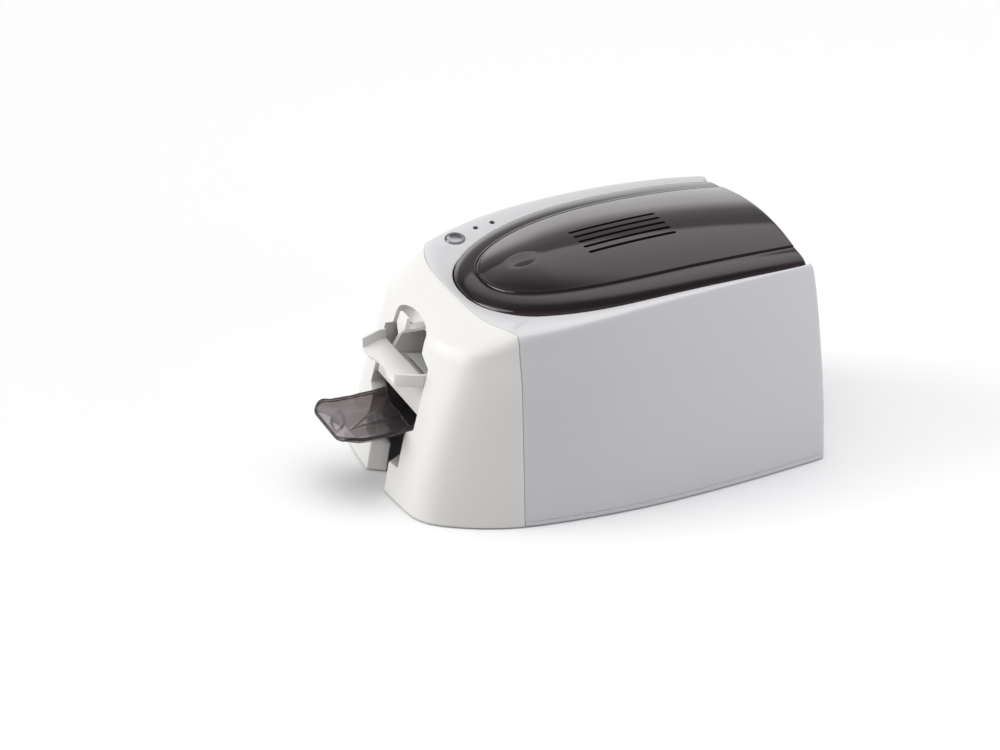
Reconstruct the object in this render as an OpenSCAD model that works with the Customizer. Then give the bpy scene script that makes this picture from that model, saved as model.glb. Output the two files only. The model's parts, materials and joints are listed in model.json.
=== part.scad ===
// Desktop card printer for plastic identity cards, with a hinged smoked lid.
// Millimetres. +Z is up, the front faces -Y, the origin is the middle of the footprint on the desk.

/* [Housing] */
// Width of the housing at its widest, halfway along the sides
body_w = 197; // [165:1:236]
// Height from the desk to the crown of the closed lid
body_h = 144; // [136:1:172]
// Length of the housing along the desk, without the output tray
body_d = 275; // [262:1:330]
// Wall thickness of the moulded shells
wall = 2.5; // [2:0.1:3.2]
// How far the front leans back between the desk and the crest of the top
nose_rake = 51; // [46:1:56]
// How far the rear wall leans in between the desk and its top edge
rear_rake = 14; // [10:1:18]
// How far each side leans in between the desk and the crest of the top
side_draft = 8; // [6:0.5:10]
// Height of the bare edge of the base pan that shows under the sides
base_edge = 3; // [2.4:0.1:4]

/* [Lid] */
// Half width of the smoked lid at its widest
lid_half_w = 77; // [70:1:80]
// Width of white rim between the crest of the front and the nose of the lid
lid_rim = 8.7; // [7:0.1:12]
// Running gap between the lid and the housing
lid_gap = 0.7; // [0.5:0.1:1.2]
// Thickness of the lid
lid_t = 2.4; // [2:0.1:3]

/* [Cards] */
// Card width
card_w = 54; // [50:0.5:56]
// Card thickness
card_t = 0.76; // [0.5:0.01:1]

/* [Output tray] */
// How far the tray stands out in front of the housing's foot
tray_out = 30; // [24:1:40]
// Wall thickness of the tray
tray_t = 2; // [1.6:0.1:2.6]

/* [Drive] */
// Gear module
gear_m = 1; // [0.8:0.05:1.05]
// Teeth on each roller gear and idler
gear_z = 20; // [18:1:20]
// Teeth on the motor pinions
pinion_z = 12; // [10:1:14]
// Radius of the drive rollers over the rubber
roller_r = 6.5; // [5.5:0.1:7]
// Radius of every roller shaft
shaft_r = 3; // [2.5:0.1:3.2]
// Radial running clearance of shafts, pins and axles
run_gap = 0.06; // [0.03:0.01:0.1]

/* [Hidden] */
$fn = 48;
eps = 0.01;

white = "whitesmoke";
grey = "gainsboro";
smoke = "dimgray";
dark = "darkslategray";
steel = "silver";

// ---------------------------------------------------------------- outlines of the housing
foot_front = -body_d / 2 - tray_out / 2 + tray_out;
foot_rear = foot_front + body_d;
crest_front = foot_front + nose_rake;
crest_rear = foot_rear - rear_rake;
foot_z = 1.2;
crown = 8.2;
crest_top = body_h - crown;
crest_peak_y = foot_rear - 64;
crest_curve = 0.00065;

// Each outline is a chain of arcs [radius, sweep], walked from the front centre around one side.
// The stretches are: front, front corner, cheek, side, rear side and rear corner.
foot_arcs = [[400, 7], [39, 53], [134, 25], [558, 12], [936, 4.5], [8, 74.5]];
crest_arcs = [[330, 10.8], [22, 51.2], [95, 22], [520, 11], [418, 7], [7, 74]];
arc_steps = [4, 5, 4, 5, 3, 4];
rear_sweep = 4;
rear_steps = 3;

function arc_run(p, h, r, sweep, n) =
  [for (i = [1 : n]) let (a = h + sweep * i / n) p + r * [sin(a) - sin(h), cos(h) - cos(a)]];
function chain(arcs, i = 0, p = [0, 0], h = 0) =
  i == len(arcs)
  ? arc_run(p, h, p[0] / sin(rear_sweep), rear_sweep, rear_steps)
  : let (run = arc_run(p, h, arcs[i][0], arcs[i][1], arc_steps[i]))
    concat(run, chain(arcs, i + 1, run[len(run) - 1], h + arcs[i][1]));
function half_line(arcs) = concat([[0, 0]], chain(arcs));
function fitted(line, half_w, y0, y1) =
  let (kx = half_w / max([for (p = line) p[0]]), ky = (y1 - y0) / line[len(line) - 1][1])
  [for (p = line) [p[0] * kx, y0 + p[1] * ky]];
function closed(half) =
  concat(half, [for (i = [len(half) - 2 : -1 : 1]) [-half[i][0], half[i][1]]]);

foot_half = fitted(half_line(foot_arcs), body_w / 2, foot_front, foot_rear);
crest_half = fitted(half_line(crest_arcs), body_w / 2 - side_draft, crest_front, crest_rear);
half_n = len(foot_half);

// ---------------------------------------------------------------- heights of the top
function crest_z(y) = crest_top - crest_curve * pow(y - crest_peak_y, 2);
lid_drop = 2.3;
lid_curve = 0.000645;
lid_peak_y = foot_rear - 54;
function lid_edge_z(y) = crest_top - lid_drop - lid_curve * pow(y - lid_peak_y, 2);

// The lid's outline is a superellipse, cut straight at the hinge.
lid_nose = crest_front + lid_rim;
lid_mid = foot_rear - 97;
lid_power = 2.35;
lid_tail = 169;
hinge_y = crest_rear - 2;
hinge_r = 3;
pin_r = 1.5;
hinge_z = lid_edge_z(hinge_y) - 1.5;
function lid_half(y, half_w, nose) =
  let (b = y < lid_mid ? lid_mid - nose : lid_tail)
  half_w * pow(max(0, 1 - pow(abs(y - lid_mid) / b, lid_power)), 1 / lid_power);

// ---------------------------------------------------------------- wall profiles
// Inward share and height share of the wall from the desk to the crest, at the front, side and rear.
front_wall = [[0, 0], [0.115, 0.255], [0.278, 0.535], [0.43, 0.782], [0.493, 0.864], [0.53, 0.89],
              [0.575, 0.908], [0.675, 0.938], [0.84, 0.972], [1, 1]];
side_wall = [[0, 0], [0.17, 0.3], [0.32, 0.6], [0.43, 0.86], [0.46, 0.90], [0.49, 0.935],
             [0.55, 0.965], [0.66, 0.985], [0.82, 0.997], [1, 1]];
rear_wall = [[0, 0], [0.07, 0.27], [0.33, 0.58], [0.66, 0.83], [0.76, 0.89], [0.82, 0.925],
             [0.87, 0.955], [0.92, 0.978], [0.96, 0.992], [1, 1]];
wall_n = len(side_wall);
rear_dip = 6.6;

function sub_sum(v, i) = i == 0 ? 0 : v[i - 1] + sub_sum(v, i - 1);
cheek_start = sub_sum(arc_steps, 2);
side_start = sub_sum(arc_steps, 3);
tail_start = sub_sum(arc_steps, 5);
tail_end = sub_sum(arc_steps, 6);
function clamp01(v) = max(0, min(1, v));
function front_share(i) = 1 - clamp01((i - 5) / (side_start - 5));
function rear_share(i) = clamp01((i - tail_start) / (tail_end - tail_start));
function wall_at(i, k) =
  let (f = front_share(i), r = rear_share(i))
  f * front_wall[k] + r * rear_wall[k] + (1 - f - r) * side_wall[k];
function crest_height(i) =
  crest_z(max(crest_half[i][1], crest_front + 6))
  - rear_dip * clamp01((i - tail_end + 1.5) / 1.5);

// One ring of the outer skin, point by point, seen as half outlines.
function skin_point(i, k) =
  let (w = wall_at(i, k), f = foot_half[i], c = crest_half[i], z = crest_height(i))
  [f[0] + (c[0] - f[0]) * w[0], f[1] + (c[1] - f[1]) * w[0], foot_z + (z - foot_z) * w[1]];

// Outward direction of the outline at each point, level with the desk
function level_normal(line, i) =
  let (a = line[max(i - 1, 0)], b = line[min(i + 1, len(line) - 1)],
       d = i == 0 || i == len(line) - 1 ? [1, 0] * (i == 0 ? 1 : -1) : (b - a) / norm(b - a))
  [d[1], -d[0]];
function lining_point(i, k) =
  let (p = skin_point(i, k), s = wall_at(i, k)[0], n = level_normal(foot_half, i) * wall * (1 - 0.35 * s))
  [max(0, p[0] - n[0]) * (i == 0 || i == half_n - 1 ? 0 : 1), p[1] - n[1], p[2] - wall * s];

function ring(half) =
  concat(half, [for (i = [len(half) - 2 : -1 : 1]) [-half[i][0], half[i][1], half[i][2]]]);
function skin_ring(k) = ring([for (i = [0 : half_n - 1]) skin_point(i, k)]);
function lining_ring(k) = ring([for (i = [0 : half_n - 1]) lining_point(i, k)]);

// Where the top dips towards the lid: one point for each point of the outline
function rim_point(i, grow, drop) =
  let (c = crest_half[i], front = lid_mid - crest_front,
       a = atan2(c[0] / (body_w / 2 - side_draft), (lid_mid - c[1]) / front),
       r = 1 / pow(pow(abs(sin(a)), lid_power) + pow(abs(cos(a)), lid_power), 1 / lid_power),
       y = c[1] < lid_mid ? lid_mid - (lid_mid - lid_nose + grow) * r * cos(a)
                          : min(c[1] - wall, crest_rear - wall),
       side = lid_half(y, lid_half_w, lid_nose) + grow,
       x = c[1] < lid_mid ? (lid_half_w + grow) * r * sin(a)
                          : min(side, c[0] - wall * (i < half_n - 1 ? 1 : 0)),
       z = min(lid_edge_z(y), crest_height(i)))
  [max(0, x), y, z - drop];
function rim_ring(grow, drop) = ring([for (i = [0 : half_n - 1]) rim_point(i, grow, drop)]);

// A solid through a stack of rings with the same number of points, closed at both ends
module lofted(rings, top) {
  n = len(rings[0]);
  m = len(rings);
  points = concat([for (r = rings, p = r) p], [top]);
  polyhedron(points, concat(
    [[for (i = [0 : n - 1]) i]],
    [for (k = [0 : m - 2], i = [0 : n - 1], h = [0, 1])
      let (j = (i + 1) % n)
      h == 0 ? [k * n + i, (k + 1) * n + i, (k + 1) * n + j] : [k * n + i, (k + 1) * n + j, k * n + j]],
    [for (i = [0 : n - 1]) [(m - 1) * n + i, m * n, (m - 1) * n + (i + 1) % n]]));
}

module housing_solid() {
  lofted(concat([for (k = [0 : wall_n - 1]) skin_ring(k)], [rim_ring(lid_gap, 0)]),
         [0, lid_mid, lid_edge_z(lid_mid)]);
}

module housing_hollow() {
  lofted(concat([[for (p = lining_ring(0)) [p[0], p[1], foot_z - 1]]],
                [for (k = [1 : wall_n - 1]) lining_ring(k)], [rim_ring(lid_gap - 1, wall)]),
         [0, lid_mid, lid_edge_z(lid_mid) - wall]);
}

// Plan of the lid, grown or shrunk, as one outline
lid_steps = 14;
function lid_outline(grow, rear) =
  let (half = concat(
    [for (i = [0 : lid_steps - 1]) let (a = 90 * i / lid_steps,
      r = 1 / pow(pow(sin(a), lid_power) + pow(cos(a), lid_power), 1 / lid_power))
      [(lid_half_w + grow) * r * sin(a), lid_mid - (lid_mid - lid_nose + grow) * r * cos(a)]],
    [for (i = [0 : 4]) let (y = lid_mid + (rear - lid_mid) * i / 4)
      [lid_half(y, lid_half_w, lid_nose) + grow, y]]))
  concat(half, [for (i = [len(half) - 1 : -1 : 1]) [-half[i][0], half[i][1]]]);

// The seam between the front shell and the body: flat at the sides, bowed forward over the top
seam_half = 80;
seam_bow = 11.3;
seam_back = 0.8;
seam_y = crest_front + seam_back + seam_bow;
seam_r = (pow(seam_half, 2) + pow(seam_bow, 2)) / (2 * seam_bow);
module front_region(gap) {
  translate([0, 0, -5]) linear_extrude(body_h + 10) difference() {
    translate([-body_w, foot_front - 20]) square([2 * body_w, seam_y - foot_front + 20 - gap]);
    translate([-seam_half, crest_front - 30]) square([2 * seam_half, 60]);
  }
  translate([0, 0, -5]) linear_extrude(body_h + 10) intersection() {
    translate([0, crest_front + seam_back + seam_r - gap]) difference() {
      translate([-seam_half, -seam_r - 60]) square([2 * seam_half, 90]);
      circle(seam_r, $fn = 240);
    }
    translate([-seam_half - eps, foot_front - 20])
      square([2 * seam_half + 2 * eps, seam_y - foot_front + 20]);
  }
}

// ---------------------------------------------------------------- layout of the works
path_z = 59.5;              // underside of a card under the print head
print_y = 26;
roller_step = 2 * gear_m * gear_z;
entry_y = print_y - roller_step;
rear_y = print_y + roller_step;
roller_z = path_z - roller_r;
hopper_slope = 0.17;
pick_rise = 7.6;            // degrees
pick_y = entry_y - roller_step * cos(pick_rise);
pick_z = roller_z + roller_step * sin(pick_rise);
hopper_end = entry_y - 13;
hopper_front = foot_front + 21;
function hopper_z(y) = path_z + 0.4 + hopper_slope * (hopper_end - y);

frame_in = card_w / 2 + 5;
frame_t = 2.5;
frame_out = frame_in + frame_t;
frame_front = pick_y - 12;
frame_rear = rear_y + 46;
frame_top = 104;
pan_top = foot_z + base_edge;

bush_r = 5.2;
small_shaft_r = 2;
small_bush_r = 4;
clean_r = 6;
clean_z = path_z + card_t + clean_r + 0.1;
pinch_r = 5;
pinch_z = path_z + card_t + pinch_r + 0.1;
roller_pair = [[pick_y, pick_z], [entry_y, roller_z], [print_y, roller_z], [rear_y, roller_z]];
small_pair = [[entry_y, clean_z], [rear_y, pinch_z]];

gear_x = frame_out + 2;
gear_w = 5;
shaft_right = gear_x + gear_w + 1;
shaft_left = frame_out + 1.5;
plate_x = gear_x + gear_w + 2.5;
plate_t = 1.6;
idler_a = [(pick_y + entry_y) / 2, (pick_z + roller_z) / 2];
idler_b = [(entry_y + print_y) / 2, roller_z];
idler_c = [(print_y + rear_y) / 2, roller_z];
axle_r = 2;
pinion_step = gear_m * (gear_z + pinion_z) / 2;
feed_motor_at = [idler_b[0], idler_b[1] - pinion_step];

spool_z = 92;
supply_y = print_y + 56;
take_y = print_y - 40;
spool_half = card_w / 2 + 2;
core_r = 6.5;
supply_r = 19;
take_r = 12.5;
take_z = 32;
spool_pin_r = 4;
ribbon_step = gear_m * (take_z + pinion_z) / 2;
ribbon_turn = 205;          // degrees, from the spool to its motor
ribbon_motor_at = [take_y, spool_z] + ribbon_step * [cos(ribbon_turn), sin(ribbon_turn)];

head_y = print_y + 24;
head_z = 100;
rod_r = 3;

// ---------------------------------------------------------------- small building blocks
// A profile drawn in Y and Z, pushed along X from x0
module across(x0, w) translate([x0, 0, 0]) rotate([90, 0, 90]) linear_extrude(w) children();
module rod(at, r, x0, x1) translate([x0, at[0], at[1]]) rotate([0, 90, 0]) cylinder(r = r, h = x1 - x0);
module both_sides() { children(); mirror([1, 0, 0]) children(); }

press_angle = 20;
gear_play = 0.2;
function involute(r, rb) = r <= rb ? 0 : let (a = acos(rb / r)) tan(a) - a * PI / 180;
function tooth_half(r, z) =
  let (rp = gear_m * z / 2, rb = rp * cos(press_angle))
  (PI / (2 * z) + involute(rp, rb) - involute(r, rb) - gear_play / 2 / (2 * rp)) * 180 / PI;
function gear_points(z, phase) =
  let (rp = gear_m * z / 2, rb = rp * cos(press_angle), rf = rp - 1.25 * gear_m, ra = rp + 0.9 * gear_m,
       rs = [rf, max(rf, rb), rp, ra])
  [for (i = [0 : z - 1], s = [-1, 1], k = s < 0 ? [0 : 3] : [3 : -1 : 0])
    let (a = phase + 360 * i / z + s * tooth_half(rs[k], z))
    if (!(k == 1 && rb <= rf)) rs[k] * [cos(a), sin(a)]];
// Phase of a gear that meshes with another one lying in direction dir
function meshed(phase, za, zb, dir) = dir + 180 - (0.5 - (dir - phase) * za / 360) * 360 / zb;

module gear(at, x0, z, phase, bore, hub = 0) {
  difference() {
    union() {
      translate([x0, at[0], at[1]]) rotate([90, 0, 90]) linear_extrude(gear_w) polygon(gear_points(z, phase));
      if (hub > 0) rod(at, hub, x0 - 1, x0 + gear_w);
    }
    rod(at, bore, x0 - 2, x0 + gear_w + 1);
  }
}

phase_entry = 0;
phase_b = meshed(phase_entry, gear_z, gear_z, 0);
phase_print = meshed(phase_b, gear_z, gear_z, 0);
phase_c = meshed(phase_print, gear_z, gear_z, 0);
phase_rear = meshed(phase_c, gear_z, gear_z, 0);
pick_dir = 180 - pick_rise;
phase_a = meshed(phase_entry, gear_z, gear_z, pick_dir);
phase_pick = meshed(phase_a, gear_z, gear_z, pick_dir);
phase_pinion = meshed(phase_b, gear_z, pinion_z, -90);
phase_take = 0;
phase_ribbon = meshed(phase_take, take_z, pinion_z, ribbon_turn);

// ---------------------------------------------------------------- casing
mouth_half = 38;
bay_half = 29;
gap_half = 16.5;
bay_floor = 20.5;
tray_sill = 44.5;
bay_top = 89;
slot_half = 25;
arch_z = 106;
arch_top = 112;
function mouth_half_line() = concat(
  [[gap_half, -5], [gap_half, bay_floor], [bay_half, bay_floor], [bay_half, tray_sill],
   [mouth_half, tray_sill + 5], [mouth_half, bay_top], [slot_half + 1, bay_top + 6.5], [slot_half, arch_z]],
  [for (a = [15 : 15 : 90]) [slot_half * cos(a), arch_z + (arch_top - arch_z) * sin(a)]]);
module mouth(grow = 0) {
  half = mouth_half_line();
  translate([0, crest_front - 8, 0]) rotate([90, 0, 0]) linear_extrude(80)
    polygon(concat([for (p = half) p], [for (i = [len(half) - 2 : -1 : 0]) [-half[i][0], half[i][1]]]));
}
return_d = 9;
module gap_returns() {
  both_sides() linear_extrude(bay_floor)
    polygon([[gap_half, foot_front + 0.6], [gap_half - 0.73 * return_d, foot_front + 0.6 + return_d],
             [gap_half - 0.73 * return_d + 2.6, foot_front + 0.6 + return_d],
             [gap_half + 2.8, foot_front + 1]]);
}
module front_shell() color(white) {
  difference() {
    intersection() { housing_solid(); front_region(0.15); }
    housing_hollow();
    mouth();
  }
  intersection() {
    housing_solid();
    union() {
      translate([0, 0, foot_z]) gap_returns();
      both_sides() translate([gap_half, foot_front - 2, bay_floor - 2])
        cube([bay_half - gap_half + 3, 12, 2]);
      both_sides() screw_boss(screw_at[0], 12);
    }
  }
}

module body_shell() color(grey) {
  difference() {
    union() {
      difference() {
        housing_solid();
        housing_hollow();
        front_region(0);
        translate([0, 0, 60]) linear_extrude(body_h) polygon(lid_outline(lid_gap, crest_rear - wall - 0.2));
        translate([-body_w, -body_d, -1]) cube([2 * body_w, 2 * body_d, foot_z + base_edge + 1.15]);
      }
      // Posts that carry the control board
      for (p = board_posts) translate([p[0], p[1], board_top])
        cylinder(r = 2.5, h = rim_z(-p[0], p[1]) - 1.2 - board_top);
    }
    // Opening for the socket panel in the rear wall
    translate([panel_x, foot_rear - rear_rake - 10, panel_z]) cube([panel_w, 40, panel_h]);
    // Seats for the button and the light pipes
    translate([button_at[0], button_at[1], button_z - 20]) cylinder(r = button_r + button_gap, h = 40);
    for (p = led_at) translate([p[0], p[1], 90]) cylinder(r = led_r + 0.05, h = 50);
    // Room for the lid's knuckles
    both_sides() rod([hinge_y, hinge_z], hinge_r + 0.4, knuckle_in - 0.4, knuckle_in + knuckle_w + 0.4);
  }
  // Ears that carry the hinge pins
  both_sides() for (x = [knuckle_in - 5.4, knuckle_in + knuckle_w + 0.4])
    difference() {
      across(x, 5) polygon([
        [hinge_y - 7, hinge_z - 12], [hinge_y - 3, hinge_z - 1], [hinge_y - 1.5, hinge_z + 2.4],
        [hinge_y + 1.2, hinge_z + 2.4], [hinge_y + 1.6, hinge_z - 4], [hinge_y + 1.2, hinge_z - 12]]);
      rod([hinge_y, hinge_z], pin_r, x - 1, x + 6);
    }
  intersection() {
    housing_solid();
    both_sides() for (i = [1, 2]) screw_boss(screw_at[i], 16);
  }
}
knuckle_in = 40;
knuckle_w = 14;
function crest_x(y) = lookup(y, [for (p = crest_half) [p[1], p[0]]]);
// Height of the sloping rim at a place on it
function rim_z(x, y) =
  let (a = lid_half(y, lid_half_w, lid_nose), t = (x - a) / (crest_x(y) - a))
  lid_edge_z(y) + t * (crest_z(y) - lid_edge_z(y));

button_r = 6.4;
button_gap = 0.25;
button_at = [-69.5 - (body_w - 197) / 2, foot_front + 82];
button_z = rim_z(-button_at[0], button_at[1]);
led_r = 1.7;
led_at = [[button_at[0] - 6, foot_front + 98.5], [button_at[0] - 7.5, foot_front + 110.5]];
board_top = button_z - 12;
board_x = button_at[0] - 14.5;
board_y = foot_front + 72;
board_posts = [[board_x + 3.5, board_y + 4], [board_x + 3, board_y + 25]];

panel_x = -69;
panel_w = 92;
panel_h = 40;
panel_z = 9.6;
panel_t = 2.4;
panel_y = foot_rear - rear_rake * 0.24 - wall - panel_t - 1.3;
main_x = -68;
main_w = 30;
main_y = 8;
main_lift = 4;
main_posts = [for (x = [main_x + 3.6, main_x + main_w - 3.6], y = [main_y + 4, main_y + 108]) [x, y]];
jack_at = [main_x + 9, pan_top + main_lift + 1.6 + 7.4];
usb_at = [main_x + 23, pan_top + main_lift + 1.6 + 5.5];

screw_r = 1.6;
screw_at = [[62, foot_front + 30.5], [84, foot_front + 92.5], [77, foot_rear - 34.5]];
module screw_boss(at, tall) {
  difference() {
    union() {
      translate([at[0], at[1], foot_z + base_edge + 0.1]) cylinder(r = 4, h = tall);
      translate([at[0], at[1] - 1, foot_z + base_edge + 0.1]) cube([20, 2, tall]);
    }
    translate([at[0], at[1], 0]) cylinder(r = screw_r + 0.05, h = 40);
  }
}
module base_pan() color("gainsboro") {
  difference() {
    union() {
      // Floor, cut to the foot of the housing
      intersection() {
        translate([0, 0, foot_z]) linear_extrude(base_edge) polygon(closed(foot_half));
        translate([-body_w, seam_y, 0]) cube([2 * body_w, body_d, 20]);
      }
      translate([0, 0, foot_z]) linear_extrude(base_edge) polygon(pan_front());
      // Sill behind the gap in the front
      translate([-24, foot_front + 13, foot_z]) cube([48, 2.4, 6]);
      for (p = main_posts) translate([p[0], p[1], pan_top - eps]) cylinder(r = 3.4, h = main_lift + eps);
    }
    for (x = [-50 : 10 : 50]) translate([x - 1.6, print_y + 26, -1]) cube([3.2, 44, 12]);
    both_sides() for (p = screw_at) translate([p[0], p[1], -1]) cylinder(r = screw_r + 0.1, h = 12);
    for (p = main_posts) translate([p[0], p[1], pan_top]) cylinder(r = 1.3, h = 20);
  }
  // Posts under the side frames
  both_sides() for (y = [frame_front + 8, print_y, frame_rear - 6])
    translate([frame_in - 3, y - 4, pan_top - eps]) cube([frame_t + 6, 8, 3]);
}
function pan_front() =
  let (edge = [for (p = foot_half) if (p[1] < seam_y)
                [max(0, p[0] - wall - 0.4), max(p[1] + wall + 0.4, foot_front + 12)]],
       n = len(edge), x = edge[n - 1][0])
  concat(edge, [[x, seam_y + 1], [-x, seam_y + 1]], [for (i = [n - 1 : -1 : 1]) [-edge[i][0], edge[i][1]]]);
module case_screws() color(steel)
  both_sides() for (p = screw_at) translate([p[0], p[1], 0]) {
    translate([0, 0, foot_z]) cylinder(r = screw_r, h = 11);
    translate([0, 0, foot_z - 0.9]) cylinder(r = 3, h = 0.9);
  }
module rubber_feet() color(dark)
  both_sides() for (y = [foot_front + 42, foot_rear - 22]) translate([61, y, 0]) cylinder(r = 6, h = foot_z);

deck_t = 2;
bay_in = frame_in + 3;
module inner_deck() color(dark) {
  deck_r = 1 / (2 * lid_curve);
  top_z = lid_edge_z(lid_peak_y) - wall - 0.1;
  intersection() {
    linear_extrude(body_h) polygon(lid_outline(2, crest_rear - wall - 9));
    difference() {
      rod([lid_peak_y, top_z - deck_r], deck_r, -body_w, body_w, $fn = 360);
      rod([lid_peak_y, top_z - deck_r - deck_t], deck_r, -body_w - 1, body_w + 1, $fn = 360);
      translate([-bay_in, take_y - 22, 0]) cube([2 * bay_in, supply_y - take_y + 50, body_h]);
    }
    translate([-body_w, -body_d, 60]) cube([2 * body_w, 2 * body_d, 100]);
  }
}
module port_panel() color(dark) difference() {
  translate([panel_x - 2, panel_y, pan_top]) cube([panel_w + 4, panel_t, panel_z + panel_h + 2 - pan_top]);
  translate([jack_at[0], panel_y - 1, jack_at[1]]) rotate([-90, 0, 0]) cylinder(r = 5.6, h = 10);
  translate([usb_at[0] - 6.2, panel_y - 1, usb_at[1] - 5.7]) cube([12.4, 10, 11.4]);
  for (x = [panel_x + 48 : 5 : panel_x + panel_w - 6])
    translate([x, panel_y - 1, panel_z + 8]) cube([2.4, 10, 24]);
}

// ---------------------------------------------------------------- lid
groove_half = 56.5;
groove_nose = lid_nose + 13;
groove_rise = 4.7;
panel_rise = crown + lid_drop;
lid_rear = hinge_y + 1.6;
function lid_ring(half_w, nose, rise, shrink = 0) =
  let (half = concat(
    [for (i = [0 : lid_steps - 1]) let (a = 90 * i / lid_steps,
      r = 1 / pow(pow(sin(a), lid_power) + pow(cos(a), lid_power), 1 / lid_power))
      [half_w * r * sin(a), lid_mid - (lid_mid - nose) * r * cos(a)]],
    [for (i = [0 : 4]) let (y = lid_mid + (lid_rear - shrink - lid_mid) * i / 4)
      [lid_half(y, half_w, nose), y]]))
  [for (p = half) [p[0], p[1], lid_edge_z(p[1]) + rise]];
function panel_ring(t, drop, shrink) =
  let (spine = groove_nose + 34)
  [for (p = lid_ring(groove_half - 1.5, groove_nose + 1.5, 0, shrink))
    let (y = p[1] + max(0, spine - p[1]) * t) [p[0] * (1 - t), y,
      lid_edge_z(y) + groove_rise + 0.9 + (panel_rise - groove_rise - 0.9) * (1 - pow(1 - t, 2)) - drop]];
function mirrored(half) =
  concat(half, [for (i = [len(half) - 1 : -1 : 1]) [-half[i][0], half[i][1], half[i][2]]]);

// A stack of mirrored rings, closed below and zipped along its middle on top
module domed(halves) {
  rings = [for (h = halves) mirrored(h)];
  n = len(rings[0]);
  m = len(rings);
  h = len(halves[0]);
  last = (m - 1) * n;
  polyhedron([for (r = rings, p = r) p], concat(
    zip_faces(0, n, h, true),
    [for (k = [0 : m - 2], i = [0 : n - 1], s = [0, 1])
      let (j = (i + 1) % n)
      s == 0 ? [k * n + i, (k + 1) * n + i, (k + 1) * n + j] : [k * n + i, (k + 1) * n + j, k * n + j]],
    zip_faces(last, n, h, false)));
}
function zip_faces(base, n, h, below) = concat(
  [below ? [base, base + 1, base + n - 1] : [base, base + n - 1, base + 1]],
  [for (i = [1 : h - 2], s = [0, 1])
    let (a = base + i, b = base + i + 1, c = base + n - i - 1, d = base + n - i)
    below ? (s == 0 ? [a, b, c] : [a, c, d]) : (s == 0 ? [a, c, b] : [a, d, c])]);

dimple_y = foot_front + 99;
dimple_depth = 1.5;
dimple_r = 36;
vent_pitch = 8;
vent_y = [foot_rear - 138, foot_rear - 79];
module lid() color(smoke) {
  difference() {
    union() {
      difference() {
        domed([lid_ring(lid_half_w, lid_nose, -1.8), lid_ring(lid_half_w, lid_nose, 0.4),
               lid_ring(lid_half_w - 1.2, lid_nose + 1.2, 1.4),
               lid_ring(groove_half, groove_nose, groove_rise),
               panel_ring(0, 0, 0), panel_ring(0.12, 0, 0), panel_ring(0.3, 0, 0), panel_ring(0.6, 0, 0),
               panel_ring(0.93, 0, 0)]);
        domed([lid_ring(lid_half_w - lid_t, lid_nose + lid_t, -4, lid_t),
               lid_ring(lid_half_w - lid_t, lid_nose + lid_t, -0.6, lid_t),
               lid_ring(groove_half, groove_nose, groove_rise - lid_t, lid_t), panel_ring(0.06, lid_t, lid_t),
               panel_ring(0.3, lid_t, lid_t), panel_ring(0.93, lid_t, lid_t)]);
      }
      // Rolled rear edge that turns round the hinge line
      intersection() {
        rod([hinge_y, hinge_z], hinge_r, -lid_roll_half, lid_roll_half);
        translate([-body_w, hinge_y - 1.2, hinge_z - 5]) cube([2 * body_w, 20, 10]);
      }
      both_sides() rod([hinge_y, hinge_z], hinge_r, knuckle_in, knuckle_in + knuckle_w);
    }
    // Rear gaps beside the knuckles, for the ears of the housing
    both_sides() for (x = [knuckle_in - 5.8, knuckle_in + knuckle_w])
      translate([x, hinge_y - 8, hinge_z - 6]) cube([5.8, 20, 9.4]);
    both_sides() rod([hinge_y, hinge_z], pin_r + run_gap, knuckle_in - 1, knuckle_in + knuckle_w + 1);
    // Thumb dimple and vent slots
    translate([0, dimple_y, lid_edge_z(dimple_y) + panel_rise - 0.3 - dimple_depth + dimple_r])
      sphere(r = dimple_r, $fn = 96);
    for (i = [-2 : 2]) translate([i * vent_pitch - 1, vent_y[0], 100]) cube([2, vent_y[1] - vent_y[0], 60]);
  }
}
lid_roll_half = 66;
module hinge_pins() color(steel)
  both_sides() rod([hinge_y, hinge_z], pin_r, knuckle_in - 5, knuckle_in + knuckle_w + 5);

// ---------------------------------------------------------------- controls
module power_button() color(steel) translate([button_at[0], button_at[1], button_z]) {
  translate([0, 0, -4.5]) cylinder(r = button_r, h = 5);
  translate([0, 0, 0.5]) cylinder(r1 = button_r, r2 = button_r - 0.6, h = 0.6);
  translate([0, 0, -5.4]) cylinder(r = button_r + 1.2, h = 1);
  translate([0, 0, -6.5]) cylinder(r = 3, h = 4);
}
module control_board() color("darkgreen") {
  difference() {
    translate([board_x, board_y, board_top - 1.6]) cube([24, 46, 1.6]);
    for (p = board_posts) translate([p[0], p[1], board_top - 3]) cylinder(r = 1.2, h = 5);
  }
  translate([button_at[0] - 3, button_at[1] - 3, board_top - eps]) cube([6, 6, 4.4]);
  for (p = led_at) translate([p[0] - 1.6, p[1] - 1.6, board_top - eps]) cube([3.2, 3.2, 1.4]);
}
module light_pipes() color("black") for (p = led_at)
  translate([p[0], p[1], board_top + 1.5])
    cylinder(r = led_r, h = rim_z(-p[0], p[1]) - board_top - 1);

// ---------------------------------------------------------------- card feeder and tray
feed_half = card_w / 2 + 0.8;
feed_t = 2.2;
lip_z = hopper_z(hopper_front) + 4.6;
lip_out = foot_front + 3.5;
lip_half = feed_half + 1.6;
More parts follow.
